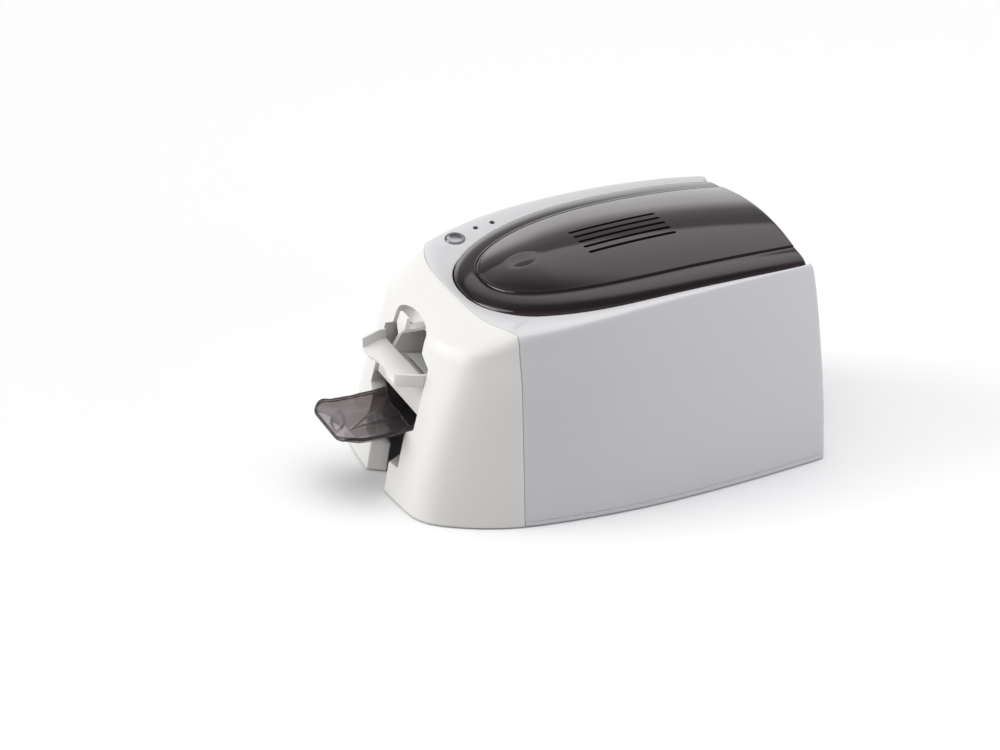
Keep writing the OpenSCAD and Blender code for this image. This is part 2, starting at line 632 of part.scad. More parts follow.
// Plan of the lip: its wings close in towards the front, and its front edge is hollowed for a thumb
module lip_plan() difference() {
  polygon([[-mouth_half + 1.5, hopper_front + 1], [-mouth_half + 1.5, foot_front + 17],
           [-lip_half, lip_out + 1], [-lip_half + 1.4, lip_out], [lip_half - 1.4, lip_out],
           [lip_half, lip_out + 1], [mouth_half - 1.5, foot_front + 17],
           [mouth_half - 1.5, hopper_front + 1]]);
  translate([0, lip_out - 31]) circle(34, $fn = 96);
}
module feeder_lip() {
  translate([0, 0, lip_z]) linear_extrude(2) lip_plan();
  translate([0, 0, lip_z]) linear_extrude(8.2) difference() {
    lip_plan();
    polygon([[-mouth_half + 3.1, hopper_front + 2], [-mouth_half + 3.1, foot_front + 17.4],
             [-lip_half + 1.6, lip_out + 1.4], [-lip_half + 3, lip_out - 1], [lip_half - 3, lip_out - 1],
             [lip_half - 1.6, lip_out + 1.4], [mouth_half - 3.1, foot_front + 17.4],
             [mouth_half - 3.1, hopper_front + 2]]);
  }
}
module feeder_tray() color(white) {
  difference() {
    union() {
      // Apron below the lip and the ramp behind it
      across(-mouth_half + 1.5, 2 * mouth_half - 3) polygon([
        [hopper_front - 2.6, lip_z + 1], [hopper_front - 1.6, lip_z - 4], [hopper_front - 4.4, 57],
        [hopper_front - 2.2, 57], [hopper_front + 1.4, hopper_z(hopper_front) - 2.6],
        [hopper_front + 14, hopper_z(hopper_front + 14) - feed_t],
        [hopper_front + 14, hopper_z(hopper_front + 14)], [hopper_front + 4, hopper_z(hopper_front + 4)],
        [hopper_front - 0.6, lip_z + 1.6], [hopper_front - 1.4, lip_z + 1.6]]);
      feeder_lip();
      across(-frame_in, 2 * frame_in) polygon([
        [hopper_front, hopper_z(hopper_front)], [hopper_front + 2, hopper_z(hopper_front) - feed_t - 0.3],
        [hopper_end, hopper_z(hopper_end) - feed_t], [hopper_end, hopper_z(hopper_end)]]);
      both_sides() across(feed_half, frame_in - feed_half) polygon([
        [hopper_front + 1, hopper_z(hopper_front) - 1], [hopper_end, hopper_z(hopper_end) - 1],
        [hopper_end, hopper_z(hopper_end) + 30], [hopper_front + 14, hopper_z(hopper_front) + 20]]);
    }
    // Window for the pick roller
    translate([-22, pick_y - roller_r - 1.5, 40]) cube([44, 2 * roller_r + 3, 40]);
    both_sides() rod(press_at, pin_r, feed_half - 1, frame_in + 1);
  }
}
press_at = [hopper_end - 6, hopper_z(hopper_end) + 24];
press_rest_front = hopper_front + 8;
press_half = 18;
module card_press() color(grey) difference() {
  union() {
    across(-press_half, 2 * press_half) polygon([
      [press_rest_front, hopper_z(press_rest_front) + 3.4],
      [press_rest_front + 1.5, hopper_z(press_rest_front) + 1.2],
      [press_at[0] - 22, hopper_z(press_at[0] - 22) + 1.2], [press_at[0] + 3, press_at[1] - 2],
      [press_at[0] + 2, press_at[1] + 2.4], [press_at[0] - 2, press_at[1] + 2.4],
      [press_at[0] - 24, hopper_z(press_at[0] - 24) + 3.4]]);
    rod(press_at, 3.2, -feed_half + 0.4, feed_half - 0.4);
  }
  rod(press_at, pin_r + run_gap, -feed_half, feed_half);
}
module press_pin() color(steel) rod(press_at, pin_r, -frame_in + 0.5, frame_in - 0.5);

// Curved back of the finger recess over the feeder mouth, with the post the lever slides on
hood_half = slot_half + 1;
hood_y = crest_front - 14;
hood_base = 97;
hood_r = 14;
hood_t = 1.6;
lever_half = 6.8;
lever_bottom = 99.5;
post_y = hood_y + 6;
post_r = 2;
sleeve_r = 3.6;
module feeder_hood() color(white) {
  across(-hood_half, 2 * hood_half) difference() {
    translate([hood_y, hood_base]) circle(hood_r, $fn = 64);
    translate([hood_y, hood_base]) circle(hood_r - hood_t, $fn = 64);
    translate([hood_y - 40, hood_base - 40]) square([80, 40]);
    translate([hood_y - 40, hood_base - 10]) square([40, 60]);
  }
  translate([0, post_y, hood_base - 3.5]) cylinder(r = post_r, h = 15);
  translate([0, post_y, hood_base - 4.5]) cylinder(r = post_r + 1.2, h = 1.1);
}
module gauge_lever() color(white) {
  y0 = foot_front + 17.5;
  difference() {
    union() {
      // Finger tab, drawn to a point at its lower end
      intersection() {
        across(-lever_half, 2 * lever_half) polygon([
          [y0 - 0.6, lever_bottom - 2], [y0 + 3.2, lever_bottom + 10.5], [y0 + 5, lever_bottom + 10.5],
          [y0 + 4.6, lever_bottom + 4], [y0 + 9, lever_bottom + 2], [y0 + 9, lever_bottom - 0.4],
          [y0 + 3, lever_bottom - 1]]);
        translate([0, y0 + 20, 0]) rotate([90, 0, 0]) linear_extrude(30) polygon([
          [-lever_half, lever_bottom + 3.4], [0, lever_bottom - 2.2], [lever_half, lever_bottom + 3.4],
          [lever_half - 0.8, lever_bottom + 11], [-lever_half + 0.8, lever_bottom + 11]]);
      }
      across(-4, 8) polygon([[y0 + 4, lever_bottom], [y0 + 4, lever_bottom + 2], [post_y, lever_bottom + 2],
                             [post_y, lever_bottom]]);
      translate([0, post_y, lever_bottom - 0.5]) cylinder(r = sleeve_r, h = 4.5);
    }
    translate([0, post_y, lever_bottom - 2]) cylinder(r = post_r + run_gap, h = 12);
  }
}

tray_front = foot_front - tray_out;
tray_back = -70;
tray_half = bay_half - 0.5;
tray_low = 40.5;
tray_floor = 45;
tray_corner = 9;
module tray_plan(inset) {
  r = tray_corner - inset;
  union() {
    both_sides() translate([tray_half - tray_corner, tray_front + tray_corner]) circle(r);
    translate([-tray_half + tray_corner, tray_front + inset])
      square([2 * (tray_half - tray_corner), tray_corner]);
    translate([-tray_half + inset, tray_front + tray_corner])
      square([2 * (tray_half - inset), tray_back - tray_front - tray_corner]);
  }
}
module output_tray() color(smoke) {
  difference() {
    translate([0, 0, tray_low]) linear_extrude(tray_floor - tray_low) tray_plan(0);
    translate([0, 0, tray_low - 1]) linear_extrude(tray_floor - tray_low + 1 - tray_t) tray_plan(tray_t);
    translate([-body_w, tray_front + 34, tray_low - 1])
      cube([2 * body_w, 100, tray_floor - tray_low + 1 - tray_t]);
    // Thumb notch
    translate([0, tray_front + 1, tray_floor + 10]) rotate([-90, 0, 0]) cylinder(r = 11, h = 14);
  }
  // Side walls that rise towards the printer
  both_sides() across(tray_half - tray_t, tray_t) polygon([
    [tray_front + 12, tray_floor - 1], [tray_front + 44, tray_floor + 11], [tray_back, tray_floor + 11],
    [tray_back, tray_floor - 1]]);
  // Front lip
  difference() {
    across(-tray_half + tray_corner, 2 * (tray_half - tray_corner)) polygon([
      [tray_front, tray_floor - 1], [tray_front + 0.6, tray_floor + 3.4],
      [tray_front + 2.4, tray_floor + 3.4], [tray_front + 6.5, tray_floor - 1]]);
    translate([0, tray_front - 2, tray_floor + 10]) rotate([-90, 0, 0]) cylinder(r = 11, h = 16);
  }
}

// ---------------------------------------------------------------- chassis
frame_line = [
  [frame_front, pan_top + 3], [frame_rear, pan_top + 3], [frame_rear, 84], [frame_rear - 8, frame_top],
  [supply_y - 12, frame_top], [supply_y - 14, frame_top + 6], [take_y + 18, frame_top + 6],
  [take_y + 12, frame_top], [take_y - 14, frame_top - 2], [frame_front + 10, 88], [frame_front, 76]];
module side_frame(x0) difference() {
  across(x0, frame_t) polygon(frame_line);
  for (p = roller_pair) rod(p, bush_r, x0 - 1, x0 + frame_t + 1);
  for (p = small_pair) rod(p, small_bush_r, x0 - 1, x0 + frame_t + 1);
  for (y = [take_y, supply_y]) {
    rod([y, spool_z], spool_pin_r + run_gap, x0 - 1, x0 + frame_t + 1);
    across(x0 - 1, frame_t + 2) translate([y - spool_pin_r - run_gap, spool_z])
      square([2 * (spool_pin_r + run_gap), 40]);
  }
  rod([head_y, head_z], rod_r, x0 - 1, x0 + frame_t + 1);
  rod(diverter_at, pin_r + run_gap, x0 - 1, x0 + frame_t + 1);
  // Window for wiring
  across(x0 - 1, frame_t + 2) translate([print_y + 14, 14]) square([44, 20]);
}
module side_frame_right() color(dark) side_frame(frame_in);
module side_frame_left() color(dark) side_frame(-frame_out);
bar_at = [[frame_front + 6, 34], [frame_rear - 6, 30], [frame_rear - 6, 80]];
module cross_bars() color(steel) for (p = bar_at) rod(p, 2.5, -frame_in, frame_in);

guide_t = 2;
module lower_card_guide() color(dark) difference() {
  translate([-frame_in, entry_y - 9, path_z - 0.5 - guide_t])
    cube([2 * frame_in, frame_rear - 4 - entry_y + 9, guide_t]);
  for (y = [entry_y, print_y, rear_y])
    translate([-frame_in + 1, y - roller_r - 0.8, path_z - 10])
      cube([2 * frame_in - 2, 2 * roller_r + 1.6, 20]);
}
module upper_card_guide() color(dark)
  translate([-frame_in, entry_y + 9, path_z + card_t + 0.9])
    cube([2 * frame_in, print_y - entry_y - 24, 1.6]);
module rear_card_guide() color(dark)
  translate([-frame_in, rear_y + 8, path_z + card_t + 0.9])
    cube([2 * frame_in, frame_rear - rear_y - 14, 1.6]);
diverter_at = [entry_y - 9, path_z - 4.5];
module card_diverter() color(grey) {
  rod(diverter_at, pin_r, -frame_out, frame_out);
  across(-feed_half + 1, 2 * feed_half - 2) polygon([
    diverter_at + [-1.4, 0], diverter_at + [-0.6, 1.4], diverter_at + [2.0, 1.0], diverter_at + [2.0, -0.4],
    diverter_at + [-2, -9], diverter_at + [-3.4, -9]]);
}
module exit_guide() color(dark) across(-frame_in, 2 * frame_in) polygon([
  [entry_y + 4, 44], [entry_y - 4, 42], [tray_back + 0.4, 41], [tray_back + 0.4, 43],
  [entry_y - 5, 44], [entry_y + 3, 46]]);

module bush(at, out_r, in_r, side) {
  x0 = side > 0 ? frame_in : -frame_out;
  f0 = side > 0 ? frame_out : -frame_out - 1;
  difference() {
    union() {
      rod(at, out_r, x0, x0 + frame_t);
      rod(at, out_r + 1.2, f0, f0 + 1);
    }
    rod(at, in_r + run_gap, -frame_out - 3, frame_out + 3);
  }
}
module roller_bushes() color("burlywood") for (s = [-1, 1]) {
  for (p = roller_pair) bush(p, bush_r, shaft_r, s);
  for (p = small_pair) bush(p, small_bush_r, small_shaft_r, s);
}

// ---------------------------------------------------------------- rollers and gears
module roller_shaft(at) rod(at, shaft_r, -shaft_left, shaft_right);
module rubber(at, half) difference() {
  rod(at, roller_r, -half, half);
  rod(at, shaft_r, -half - 1, half + 1);
}
// Moulded shaft with its gear in one piece
module geared_shaft(at, phase) color("ivory") {
  roller_shaft(at);
  gear(at, gear_x, gear_z, phase, shaft_r - 0.2);
}
module pick_shaft() geared_shaft(roller_pair[0], phase_pick);
module entry_shaft() geared_shaft(roller_pair[1], phase_entry);
module rear_shaft() geared_shaft(roller_pair[3], phase_rear);
module platen_shaft() color(steel) roller_shaft(roller_pair[2]);
module pick_roller() color(dark) rubber(roller_pair[0], 20);
module entry_roller() color(dark) rubber(roller_pair[1], 25);
module platen_roller() color("dimgray") rubber(roller_pair[2], frame_in - 2.5);
module rear_roller() color(dark) rubber(roller_pair[3], 25);
module platen_gear() color(white) gear(roller_pair[2], gear_x, gear_z, phase_print, shaft_r);
module idler_gear_a() color(white) gear(idler_a, gear_x, gear_z, phase_a, axle_r + run_gap);
module idler_gear_b() color(white) gear(idler_b, gear_x, gear_z, phase_b, axle_r + run_gap);
module idler_gear_c() color(white) gear(idler_c, gear_x, gear_z, phase_c, axle_r + run_gap);
module idler_pins() color(steel) for (p = [idler_a, idler_b, idler_c]) {
  rod(p, axle_r, frame_out, plate_x);
  rod(p, axle_r + 1.6, frame_out, gear_x - 0.3);
}
module free_roller(at, r, half) {
  rod(at, r, -half, half);
  rod(at, small_shaft_r, -frame_out - 1, frame_out + 1);
}
module cleaning_roller() color("steelblue") free_roller(small_pair[0], clean_r, 27);
module pinch_roller() color(dark) free_roller(small_pair[1], pinch_r, 22);

motor_r = 17.5;
motor_l = 20;
module gear_plate() color(steel) {
  difference() {
    across(plate_x, plate_t) polygon([
      idler_a + [-8, 8], idler_a + [-8, -8], feed_motor_at + [-24, -20], feed_motor_at + [24, -20],
      idler_c + [8, -8], idler_c + [8, 8]]);
    rod(feed_motor_at, 5.5, plate_x - 1, plate_x + 3);
  }
  for (p = [feed_motor_at + [-20, -16], feed_motor_at + [20, -16]]) rod(p, 2.5, frame_out, plate_x + eps);
}
module feed_motor() color(steel) {
  rod(feed_motor_at, motor_r, plate_x + plate_t, plate_x + plate_t + motor_l);
  rod(feed_motor_at, 5, plate_x + 0.5, plate_x + plate_t + 1);
}
module motor_pinion() color("gold") {
  gear(feed_motor_at, gear_x, pinion_z, phase_pinion, 0.9);
  rod(feed_motor_at, 1, gear_x - 0.5, plate_x + 0.4);
}
module ribbon_motor() color(steel) {
  rod(ribbon_motor_at, 12, -gear_x - gear_w - 27, -gear_x - gear_w - 2);
  // Foot that holds the motor on the left side frame
  difference() {
    translate([-gear_x - gear_w - 14, ribbon_motor_at[0] - 12, ribbon_motor_at[1] - 13])
      cube([gear_x + gear_w + 14 - frame_out, 24, 2]);
    rod(ribbon_motor_at, 12.0, -gear_x - gear_w - 27, -gear_x - gear_w - 2);
  }
}
module ribbon_pinion() color("gold") {
  gear(ribbon_motor_at, -gear_x - gear_w, pinion_z, phase_ribbon, 0.9);
  rod(ribbon_motor_at, 1, -gear_x - gear_w - 1.6, -gear_x + 0.5);
}

// ---------------------------------------------------------------- ribbon
module spool_core(y) {
  rod([y, spool_z], core_r, -spool_half, spool_half);
  for (x = [-spool_half - 1.2, spool_half]) rod([y, spool_z], core_r + 3, x, x + 1.2);
}
module supply_spool() color("whitesmoke") {
  spool_core(supply_y);
  rod([supply_y, spool_z], spool_pin_r, -frame_out, frame_out);
}
module take_up_spool() color("whitesmoke") {
  spool_core(take_y);
  rod([take_y, spool_z], spool_pin_r, -gear_x - gear_w, frame_out);
  gear([take_y, spool_z], -gear_x - gear_w, take_z, phase_take, spool_pin_r - 0.01);
}
module wound(y, r) difference() {
  rod([y, spool_z], r, -spool_half + 1, spool_half - 1);
  rod([y, spool_z], core_r, -spool_half, spool_half);
}
module supply_roll() color("midnightblue") wound(supply_y, supply_r);
module take_up_roll() color("midnightblue") wound(take_y, take_r);

// Where a line from point p touches a circle, on the left (1) or right (-1) of the way to it
function touch(p, c, r, side) =
  let (d = c - p, l = norm(d), a = atan2(d[1], d[0]), b = side * asin(r / l), t = sqrt(l * l - r * r))
  p + t * [cos(a + b), sin(a + b)];
film_low = path_z + card_t + 0.1;
film_t = 0.25;
film_turn = [[print_y + 14, film_low + 4.2], [print_y + 3, film_low], [print_y - 3, film_low],
             [print_y - 12, film_low + 4.2]];
film_line = concat([touch(film_turn[0], [supply_y, spool_z], supply_r + 0.4, 1)], film_turn,
                   [touch(film_turn[3], [take_y, spool_z], take_r + 0.4, 1)]);
module ribbon_film() color("midnightblue") across(-spool_half + 2, 2 * spool_half - 4)
  polygon(concat(film_line, [for (i = [len(film_line) - 1 : -1 : 0]) film_line[i] + [0, film_t]]));

// ---------------------------------------------------------------- print head
head_low = film_low + film_t + 0.25;
module print_head() color("dimgray") across(-spool_half + 1, 2 * spool_half - 2) polygon([
  [print_y - 2, head_low], [print_y + 2, head_low], [print_y + 9, head_low + 7], [print_y + 9, head_low + 11],
  [print_y - 7, head_low + 11], [print_y - 7, head_low + 5]]);
module head_bracket() color("lightgray") {
  difference() {
    union() {
      translate([-spool_half + 1, print_y - 7, head_low + 11]) cube([2 * spool_half - 2, 16, 2.5]);
      for (i = [0 : 6]) translate([-spool_half + 3 + i * 8.2, print_y - 6, head_low + 13]) cube([2, 14, 16]);
      both_sides() across(spool_half - 1.6, 2) polygon([
        [print_y - 7, head_low + 11.5], [print_y + 9, head_low + 11.5], [head_y + 5, head_z - 6],
        [head_y + 6, head_z],
        [head_y + 3, head_z + 5], [head_y - 3, head_z + 5], [print_y - 7, head_low + 26]]);
    }
    rod([head_y, head_z], rod_r + run_gap, -frame_in, frame_in);
  }
}
module head_rod() color(steel) rod([head_y, head_z], rod_r, -frame_out, frame_out);

// ---------------------------------------------------------------- electronics
module main_board() color("darkgreen") {
  difference() {
    translate([main_x, main_y, pan_top + main_lift]) cube([main_w, panel_y - 0.6 - main_y, 1.6]);
    for (p = main_posts) translate([p[0], p[1], 0]) cylinder(r = 1.6, h = 20);
  }
  for (b = [[4, 22, 18, 18, 3], [8, 52, 14, 20, 2.6], [3, 84, 10, 10, 9], [16, 96, 12, 12, 12]])
    translate([main_x + b[0], main_y + b[1], pan_top + main_lift + 1.6 - eps]) cube([b[2], b[3], b[4]]);
}
module usb_socket() color(steel) difference() {
  translate([usb_at[0] - 6, panel_y - 14, usb_at[1] - 5.5]) cube([12, 16, 11]);
  translate([usb_at[0] - 4.4, panel_y - 8, usb_at[1] - 4]) cube([8.8, 12, 8]);
}
module power_socket() color("black") difference() {
  union() {
    translate([jack_at[0], panel_y + 1, jack_at[1]]) rotate([90, 0, 0]) cylinder(r = 5.4, h = 13);
    translate([jack_at[0] - 6, panel_y - 12.5, jack_at[1] - 7.4]) cube([12, 12, 13]);
  }
  translate([jack_at[0], panel_y + 2, jack_at[1]]) rotate([90, 0, 0]) cylinder(r = 3.2, h = 11);
}

front_shell();
body_shell();
base_pan();
rubber_feet();
case_screws();
inner_deck();
port_panel();
lid();
hinge_pins();
power_button();
control_board();
light_pipes();
feeder_tray();
feeder_hood();
gauge_lever();
card_press();
press_pin();
output_tray();
side_frame_left();
side_frame_right();
cross_bars();
gear_plate();
idler_pins();
upper_card_guide();
rear_card_guide();
lower_card_guide();
exit_guide();
card_diverter();
roller_bushes();
pick_roller();
pick_shaft();
entry_roller();
entry_shaft();
platen_roller();
platen_shaft();
platen_gear();
rear_roller();
rear_shaft();
cleaning_roller();
pinch_roller();
idler_gear_a();
idler_gear_b();
idler_gear_c();
feed_motor();
motor_pinion();
ribbon_motor();
ribbon_pinion();
supply_spool();
supply_roll();
take_up_spool();
take_up_roll();
ribbon_film();
head_bracket();
print_head();
head_rod();
main_board();
usb_socket();
power_socket();
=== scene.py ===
import json
import bpy
import bmesh
from math import acos, atan2, ceil, copysign, cos, hypot, radians, sin, sqrt, tan, tau
from mathutils import Matrix, Vector
from mathutils.kdtree import KDTree


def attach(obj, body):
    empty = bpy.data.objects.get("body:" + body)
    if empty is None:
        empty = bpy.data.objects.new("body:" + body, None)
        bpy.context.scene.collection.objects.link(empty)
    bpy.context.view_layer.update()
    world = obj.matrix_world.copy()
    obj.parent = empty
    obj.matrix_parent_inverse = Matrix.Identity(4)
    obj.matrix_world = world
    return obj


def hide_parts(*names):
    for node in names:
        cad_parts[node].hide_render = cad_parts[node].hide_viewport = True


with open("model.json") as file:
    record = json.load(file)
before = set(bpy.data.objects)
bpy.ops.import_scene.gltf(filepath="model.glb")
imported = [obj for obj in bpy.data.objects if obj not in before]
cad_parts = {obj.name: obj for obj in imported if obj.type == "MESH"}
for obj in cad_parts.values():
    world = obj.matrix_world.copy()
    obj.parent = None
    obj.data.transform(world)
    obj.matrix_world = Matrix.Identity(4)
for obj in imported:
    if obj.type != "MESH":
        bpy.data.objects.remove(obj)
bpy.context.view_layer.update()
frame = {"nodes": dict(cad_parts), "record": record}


# ---------------------------------------------------------------- camera
# A long lens a little above the printer, off its front right corner, so that the
# front, the top and one whole side show with hardly any taper.
def placed(name, data):
    """A new object of the scene, made of a mesh, a camera or a lamp."""
    made = bpy.data.objects.new(name, data)
    bpy.context.scene.collection.objects.link(made)
    return made


aim = Vector((0, -0.0381, 0.0577))
camera_distance = 2.187
round_by, up_by = radians(67.72), radians(25.43)
back_off = Vector((sin(round_by) * cos(up_by), -cos(round_by) * cos(up_by), sin(up_by)))
camera = placed("camera", bpy.data.cameras.new("camera"))
camera.data.lens = 126
camera.data.clip_end = 30
camera.location = aim + back_off * camera_distance
camera.rotation_euler = back_off.to_track_quat("Z", "Y").to_euler()
bpy.context.scene.camera = camera


# ---------------------------------------------------------------- front shell
# A warm white ABS moulding that leans back from the desk. Its middle is cut out from the
# foot upwards: two legs, the bay of the output tray, the card mouth and a finger arch.
# The cut edges are rolled and run back as jambs. It hooks on the body along the seam.

# It shares one outer form with the body shell: a foot outline and a smaller crest outline,
# joined by a wall that leans in and rolls over at the top, then dips as a rim to the edge
# of the lid. Each outline is a chain of arcs, by radius and sweep. Millimetres and degrees.
foot_front, crest_front = -122.5, -71.5
foot_z, shell_wall = 1.2, 2.5
lid_nose, lid_mid, lid_power, lid_tail, lid_half_width = -62.8, 55.5, 2.35, 169.0, 77.0
lid_gap = 0.7
foot_arcs = [(461.7, 6.38), (31.7, 46.67), (114.4, 30.26), (437.1, 12.58), (1044, 5.73), (6, 77.18)]
crest_arcs = [(316.2, 11.73), (18, 57.91), (172.5, 19.05), (693.3, 9.05), (215.5, 6.07), (5, 74.99)]
rear_sweep = 1.2


def outline(arcs, front):
    """Half of a plan outline, from the front centre to the rear centre, by its length."""
    runs, start, heading, done = [], Vector((0, front)), 0.0, 0.0
    for radius, sweep in arcs:
        runs.append((start, heading, radius, done))
        a, b = radians(heading), radians(heading + sweep)
        start = start + radius * Vector((sin(b) - sin(a), cos(a) - cos(b)))
        heading += sweep
        done += radius * radians(sweep)
    radius = start.x / sin(radians(rear_sweep))
    runs.append((start, heading, radius, done))
    whole = done + radius * radians(rear_sweep)

    def place(length):
        reached = [r for r in runs if r[3] <= max(0.0, length)]
        start, heading, radius, done = max(reached, key=lambda r: r[3])
        a = radians(heading)
        b = a + (min(length, whole) - done) / radius
        return start + radius * Vector((sin(b) - sin(a), cos(a) - cos(b)))

    return place, whole


def between(p, q, leaving, arriving, t):
    """A smooth curve from p to q with the given rates at its ends."""
    t2, t3 = t * t, t * t * t
    return (p * (2 * t3 - 3 * t2 + 1) + q * (3 * t2 - 2 * t3)
            + leaving * (t3 - 2 * t2 + t) + arriving * (t3 - t2))


def smooth_path(knots):
    """A rising curve through points, with no overshoot."""
    rates = [(b[1] - a[1]) / (b[0] - a[0]) for a, b in zip(knots, knots[1:])]
    slopes = [rates[0]] + [2 * p * q / (p + q) for p, q in zip(rates, rates[1:])] + [rates[-1]]

    def value(x):
        n = max(k for k in range(len(rates)) if k == 0 or knots[k][0] <= x)
        (start, low), (end, high) = knots[n:n + 2]
        span = end - start
        return between(low, high, slopes[n] * span, slopes[n + 1] * span, (x - start) / span)

    return value


foot_line, foot_length = outline(foot_arcs, foot_front)
crest_place, crest_length = outline(crest_arcs, crest_front)
# Length of the foot outline at which the side ends and the rear corner starts
rear_turn = 338
# Which length of the crest stands over which length of the foot
over_foot = smooth_path([(0, 0), (51.4, 43), (77.2, 61), (110, 72), (137.6, 79.2), (165, 104.5),
                         (rear_turn, 272.6), (346.1, 279.1), (foot_length, crest_length)])


def crest_line(along):
    return crest_place(over_foot(along))


# Shares of the lean and of the height, from the desk to the crest. On the sides the wall
# runs to a shoulder, and the roll goes from there to the crest.
front_wall = [(0, 0), (0.115, 0.255), (0.278, 0.535), (0.43, 0.782), (0.493, 0.864), (0.53, 0.89),
              (0.575, 0.908), (0.675, 0.938), (0.84, 0.972), (1, 1)]
side_wall = [(0, 0), (0.22, 0.26), (0.45, 0.53), (0.72, 0.84), (1, 1)]
side_roll = [(0.1, 0.38), (0.25, 0.66), (0.45, 0.85), (0.71, 0.965), (1, 1)]
rear_wall = [(0, 0), (0.07, 0.27), (0.33, 0.58), (0.66, 0.83), (0.76, 0.89), (0.82, 0.925),
             (0.87, 0.955), (0.92, 0.978), (0.96, 0.992), (1, 1)]
# Height along the wall at which each of these shares is reached, and last the rim's end
girth = [0, 35, 72, 105, 113, 117, 121, 126, 131.5, 136.5, 147]
bands, rim_end = len(girth) - 1, girth[-1]


def eased_step(value, start, end):
    t = min(1.0, max(0.0, (value - start) / (end - start)))
    return t * t * (3 - 2 * t)


def lid_edge_z(y):
    """Height of the lid's edge, which is a long low arch from front to rear."""
    return 133.5 - 0.000645 * (y - 98.5) ** 2


def lid_half(y, half_width=lid_half_width, nose=lid_nose):
    """Half the width of a lid outline so far back."""
    reach = lid_mid - nose if y < lid_mid else lid_tail
    return half_width * max(0.0, 1 - (abs(y - lid_mid) / reach) ** lid_power) ** (1 / lid_power)


def lid_front(a, half_width, nose):
    """A place on the rounded front of a lid outline, by its angle from the nose."""
    r = 1 / (sin(a) ** lid_power + cos(a) ** lid_power) ** (1 / lid_power)
    return half_width * r * sin(a), lid_mid - (lid_mid - nose) * r * cos(a)


def crest_height(along):
    """Height of the crest: level over the nose, then an arch that drops at the rear corner."""
    level_to = -58
    ahead = crest_line(along).y - level_to
    y = (ahead + sqrt(ahead * ahead + 9)) / 2 + level_to
    return 136.1 - 0.00059 * (y - 105) ** 2 - 6.6 * eased_step(along, 341.5, 347)


def rim_place(along):
    """Where the sloping rim ends beside the lid."""
    c = crest_line(along)
    crest_half_width = 88.2
    if c.y < lid_mid:
        a = atan2(c.x / crest_half_width, (lid_mid - c.y) / (lid_mid - crest_front))
        x, y = lid_front(a, lid_half_width + lid_gap, lid_nose - lid_gap)
    else:
        y = c.y - shell_wall * eased_step(c.y, lid_mid, lid_mid + 30)
        x = min(lid_half(y) + lid_gap, c.x - shell_wall * min(1.0, (foot_length - along) / 25))
    z = lid_edge_z(y) + 1.3 - 2.15 * eased_step(y, -66, -36) + 0.85 * eased_step(y, -8, 45)
    if along > rear_turn:
        z = min(z, crest_height(along) - 0.2)
    return Vector((max(0.0, x), y, z))


columns = {}


def wall_column(along):
    """The knots of the wall over a length of the foot outline, from the desk to the lid."""
    key = round(along, 4)
    if key not in columns:
        f, c, top = foot_line(along), crest_line(along), crest_height(along)
        at_front, at_rear = 1 - eased_step(along, 78, 144), eased_step(along, 337, 347)
        corner_share = eased_step(along, 36, 68) * (1 - eased_step(along, 92, 140))
        points = []
        lean_length, rise_length = (f - c).length, top - foot_z
        narrow = eased_step(along, 125, 200)
        shoulder = (1 - (5 - 1.8 * narrow) / lean_length, 1 - (10 - 5 * narrow) / rise_length)
        side_shares = [(a * shoulder[0], b * shoulder[1]) for a, b in side_wall]
        side_shares += [(shoulder[0] + a * (1 - shoulder[0]), shoulder[1] + b * (1 - shoulder[1]))
                        for a, b in side_roll]
        for front, side, rear in zip(front_wall, side_shares, rear_wall):
            lean, rise = (at_front * front[n] + at_rear * rear[n] + (1 - at_front - at_rear) * side[n]
                          for n in (0, 1))
            lean += corner_share * rise ** 6 * (1 - rise)
            points.append(Vector((f.x + (c.x - f.x) * lean, f.y + (c.y - f.y) * lean,
                                  foot_z + (top - foot_z) * rise)))
        columns[key] = points + [rim_place(along)]
    return columns[key]


def skin(along, height):
    """A place on the outer form, in millimetres; height is measured along the wall."""
    p = wall_column(along)
    k = max(n for n in range(bands) if n == 0 or girth[n] <= height)
    t = (height - girth[k]) / (girth[k + 1] - girth[k])
    spans = [(p[n + 1] - p[n]).length for n in range(bands)]

    def slope(n):
        if n in (0, bands):
            n = min(n, bands - 1)
            return (p[n + 1] - p[n]) / spans[n]
        before, after = (p[n] - p[n - 1]) / spans[n - 1], (p[n + 1] - p[n]) / spans[n]
        return (before * spans[n] + after * spans[n - 1]) / (spans[n - 1] + spans[n])

    return between(p[k], p[k + 1], slope(k) * spans[k], slope(k + 1) * spans[k], t)


def settle(along, height, wanted):
    """Slides a place over the form until two of its coordinates are as wanted."""
    small, longest, lowest = 0.05, 8.0, -2.0
    for _ in range(14):
        here = skin(along, height)
        by_along = (skin(along + small, height) - here) / small
        by_height = (skin(along, height + small) - here) / small
        (m, a), (n, b) = wanted
        miss_m, miss_n = a - here[m], b - here[n]
        det = by_along[m] * by_height[n] - by_height[m] * by_along[n]
        if abs(det) < 1e-9:
            break
        step_a = (miss_m * by_height[n] - by_height[m] * miss_n) / det
        step_h = (by_along[m] * miss_n - miss_m * by_along[n]) / det
        along += max(-longest, min(longest, step_a))
        height += max(-longest, min(longest, step_h))
        height = max(lowest, min(rim_end, height))
    return along, height


def side_seam(height):
    """How far back the joint between the two shells lies on the side; it leans back a little."""
    return -60.1 + 0.0175 * height


def along_side(height, y):
    """How far along the foot outline the side of the form reaches so far back."""
    low, high = 80.0, 330.0
    for _ in range(30):
        middle = (low + high) / 2
        low, high = (middle, high) if skin(middle, height).y < y else (low, middle)
    return (low + high) / 2


# The joint runs down the side below one height, and turns over the top above it
seam_turn, corner_height, seam_gap = 120, 134.6, 0.15
corner_along = along_side(corner_height, side_seam(seam_turn))
seam_half = skin(corner_along, corner_height).x
seam_front = crest_front + 0.8


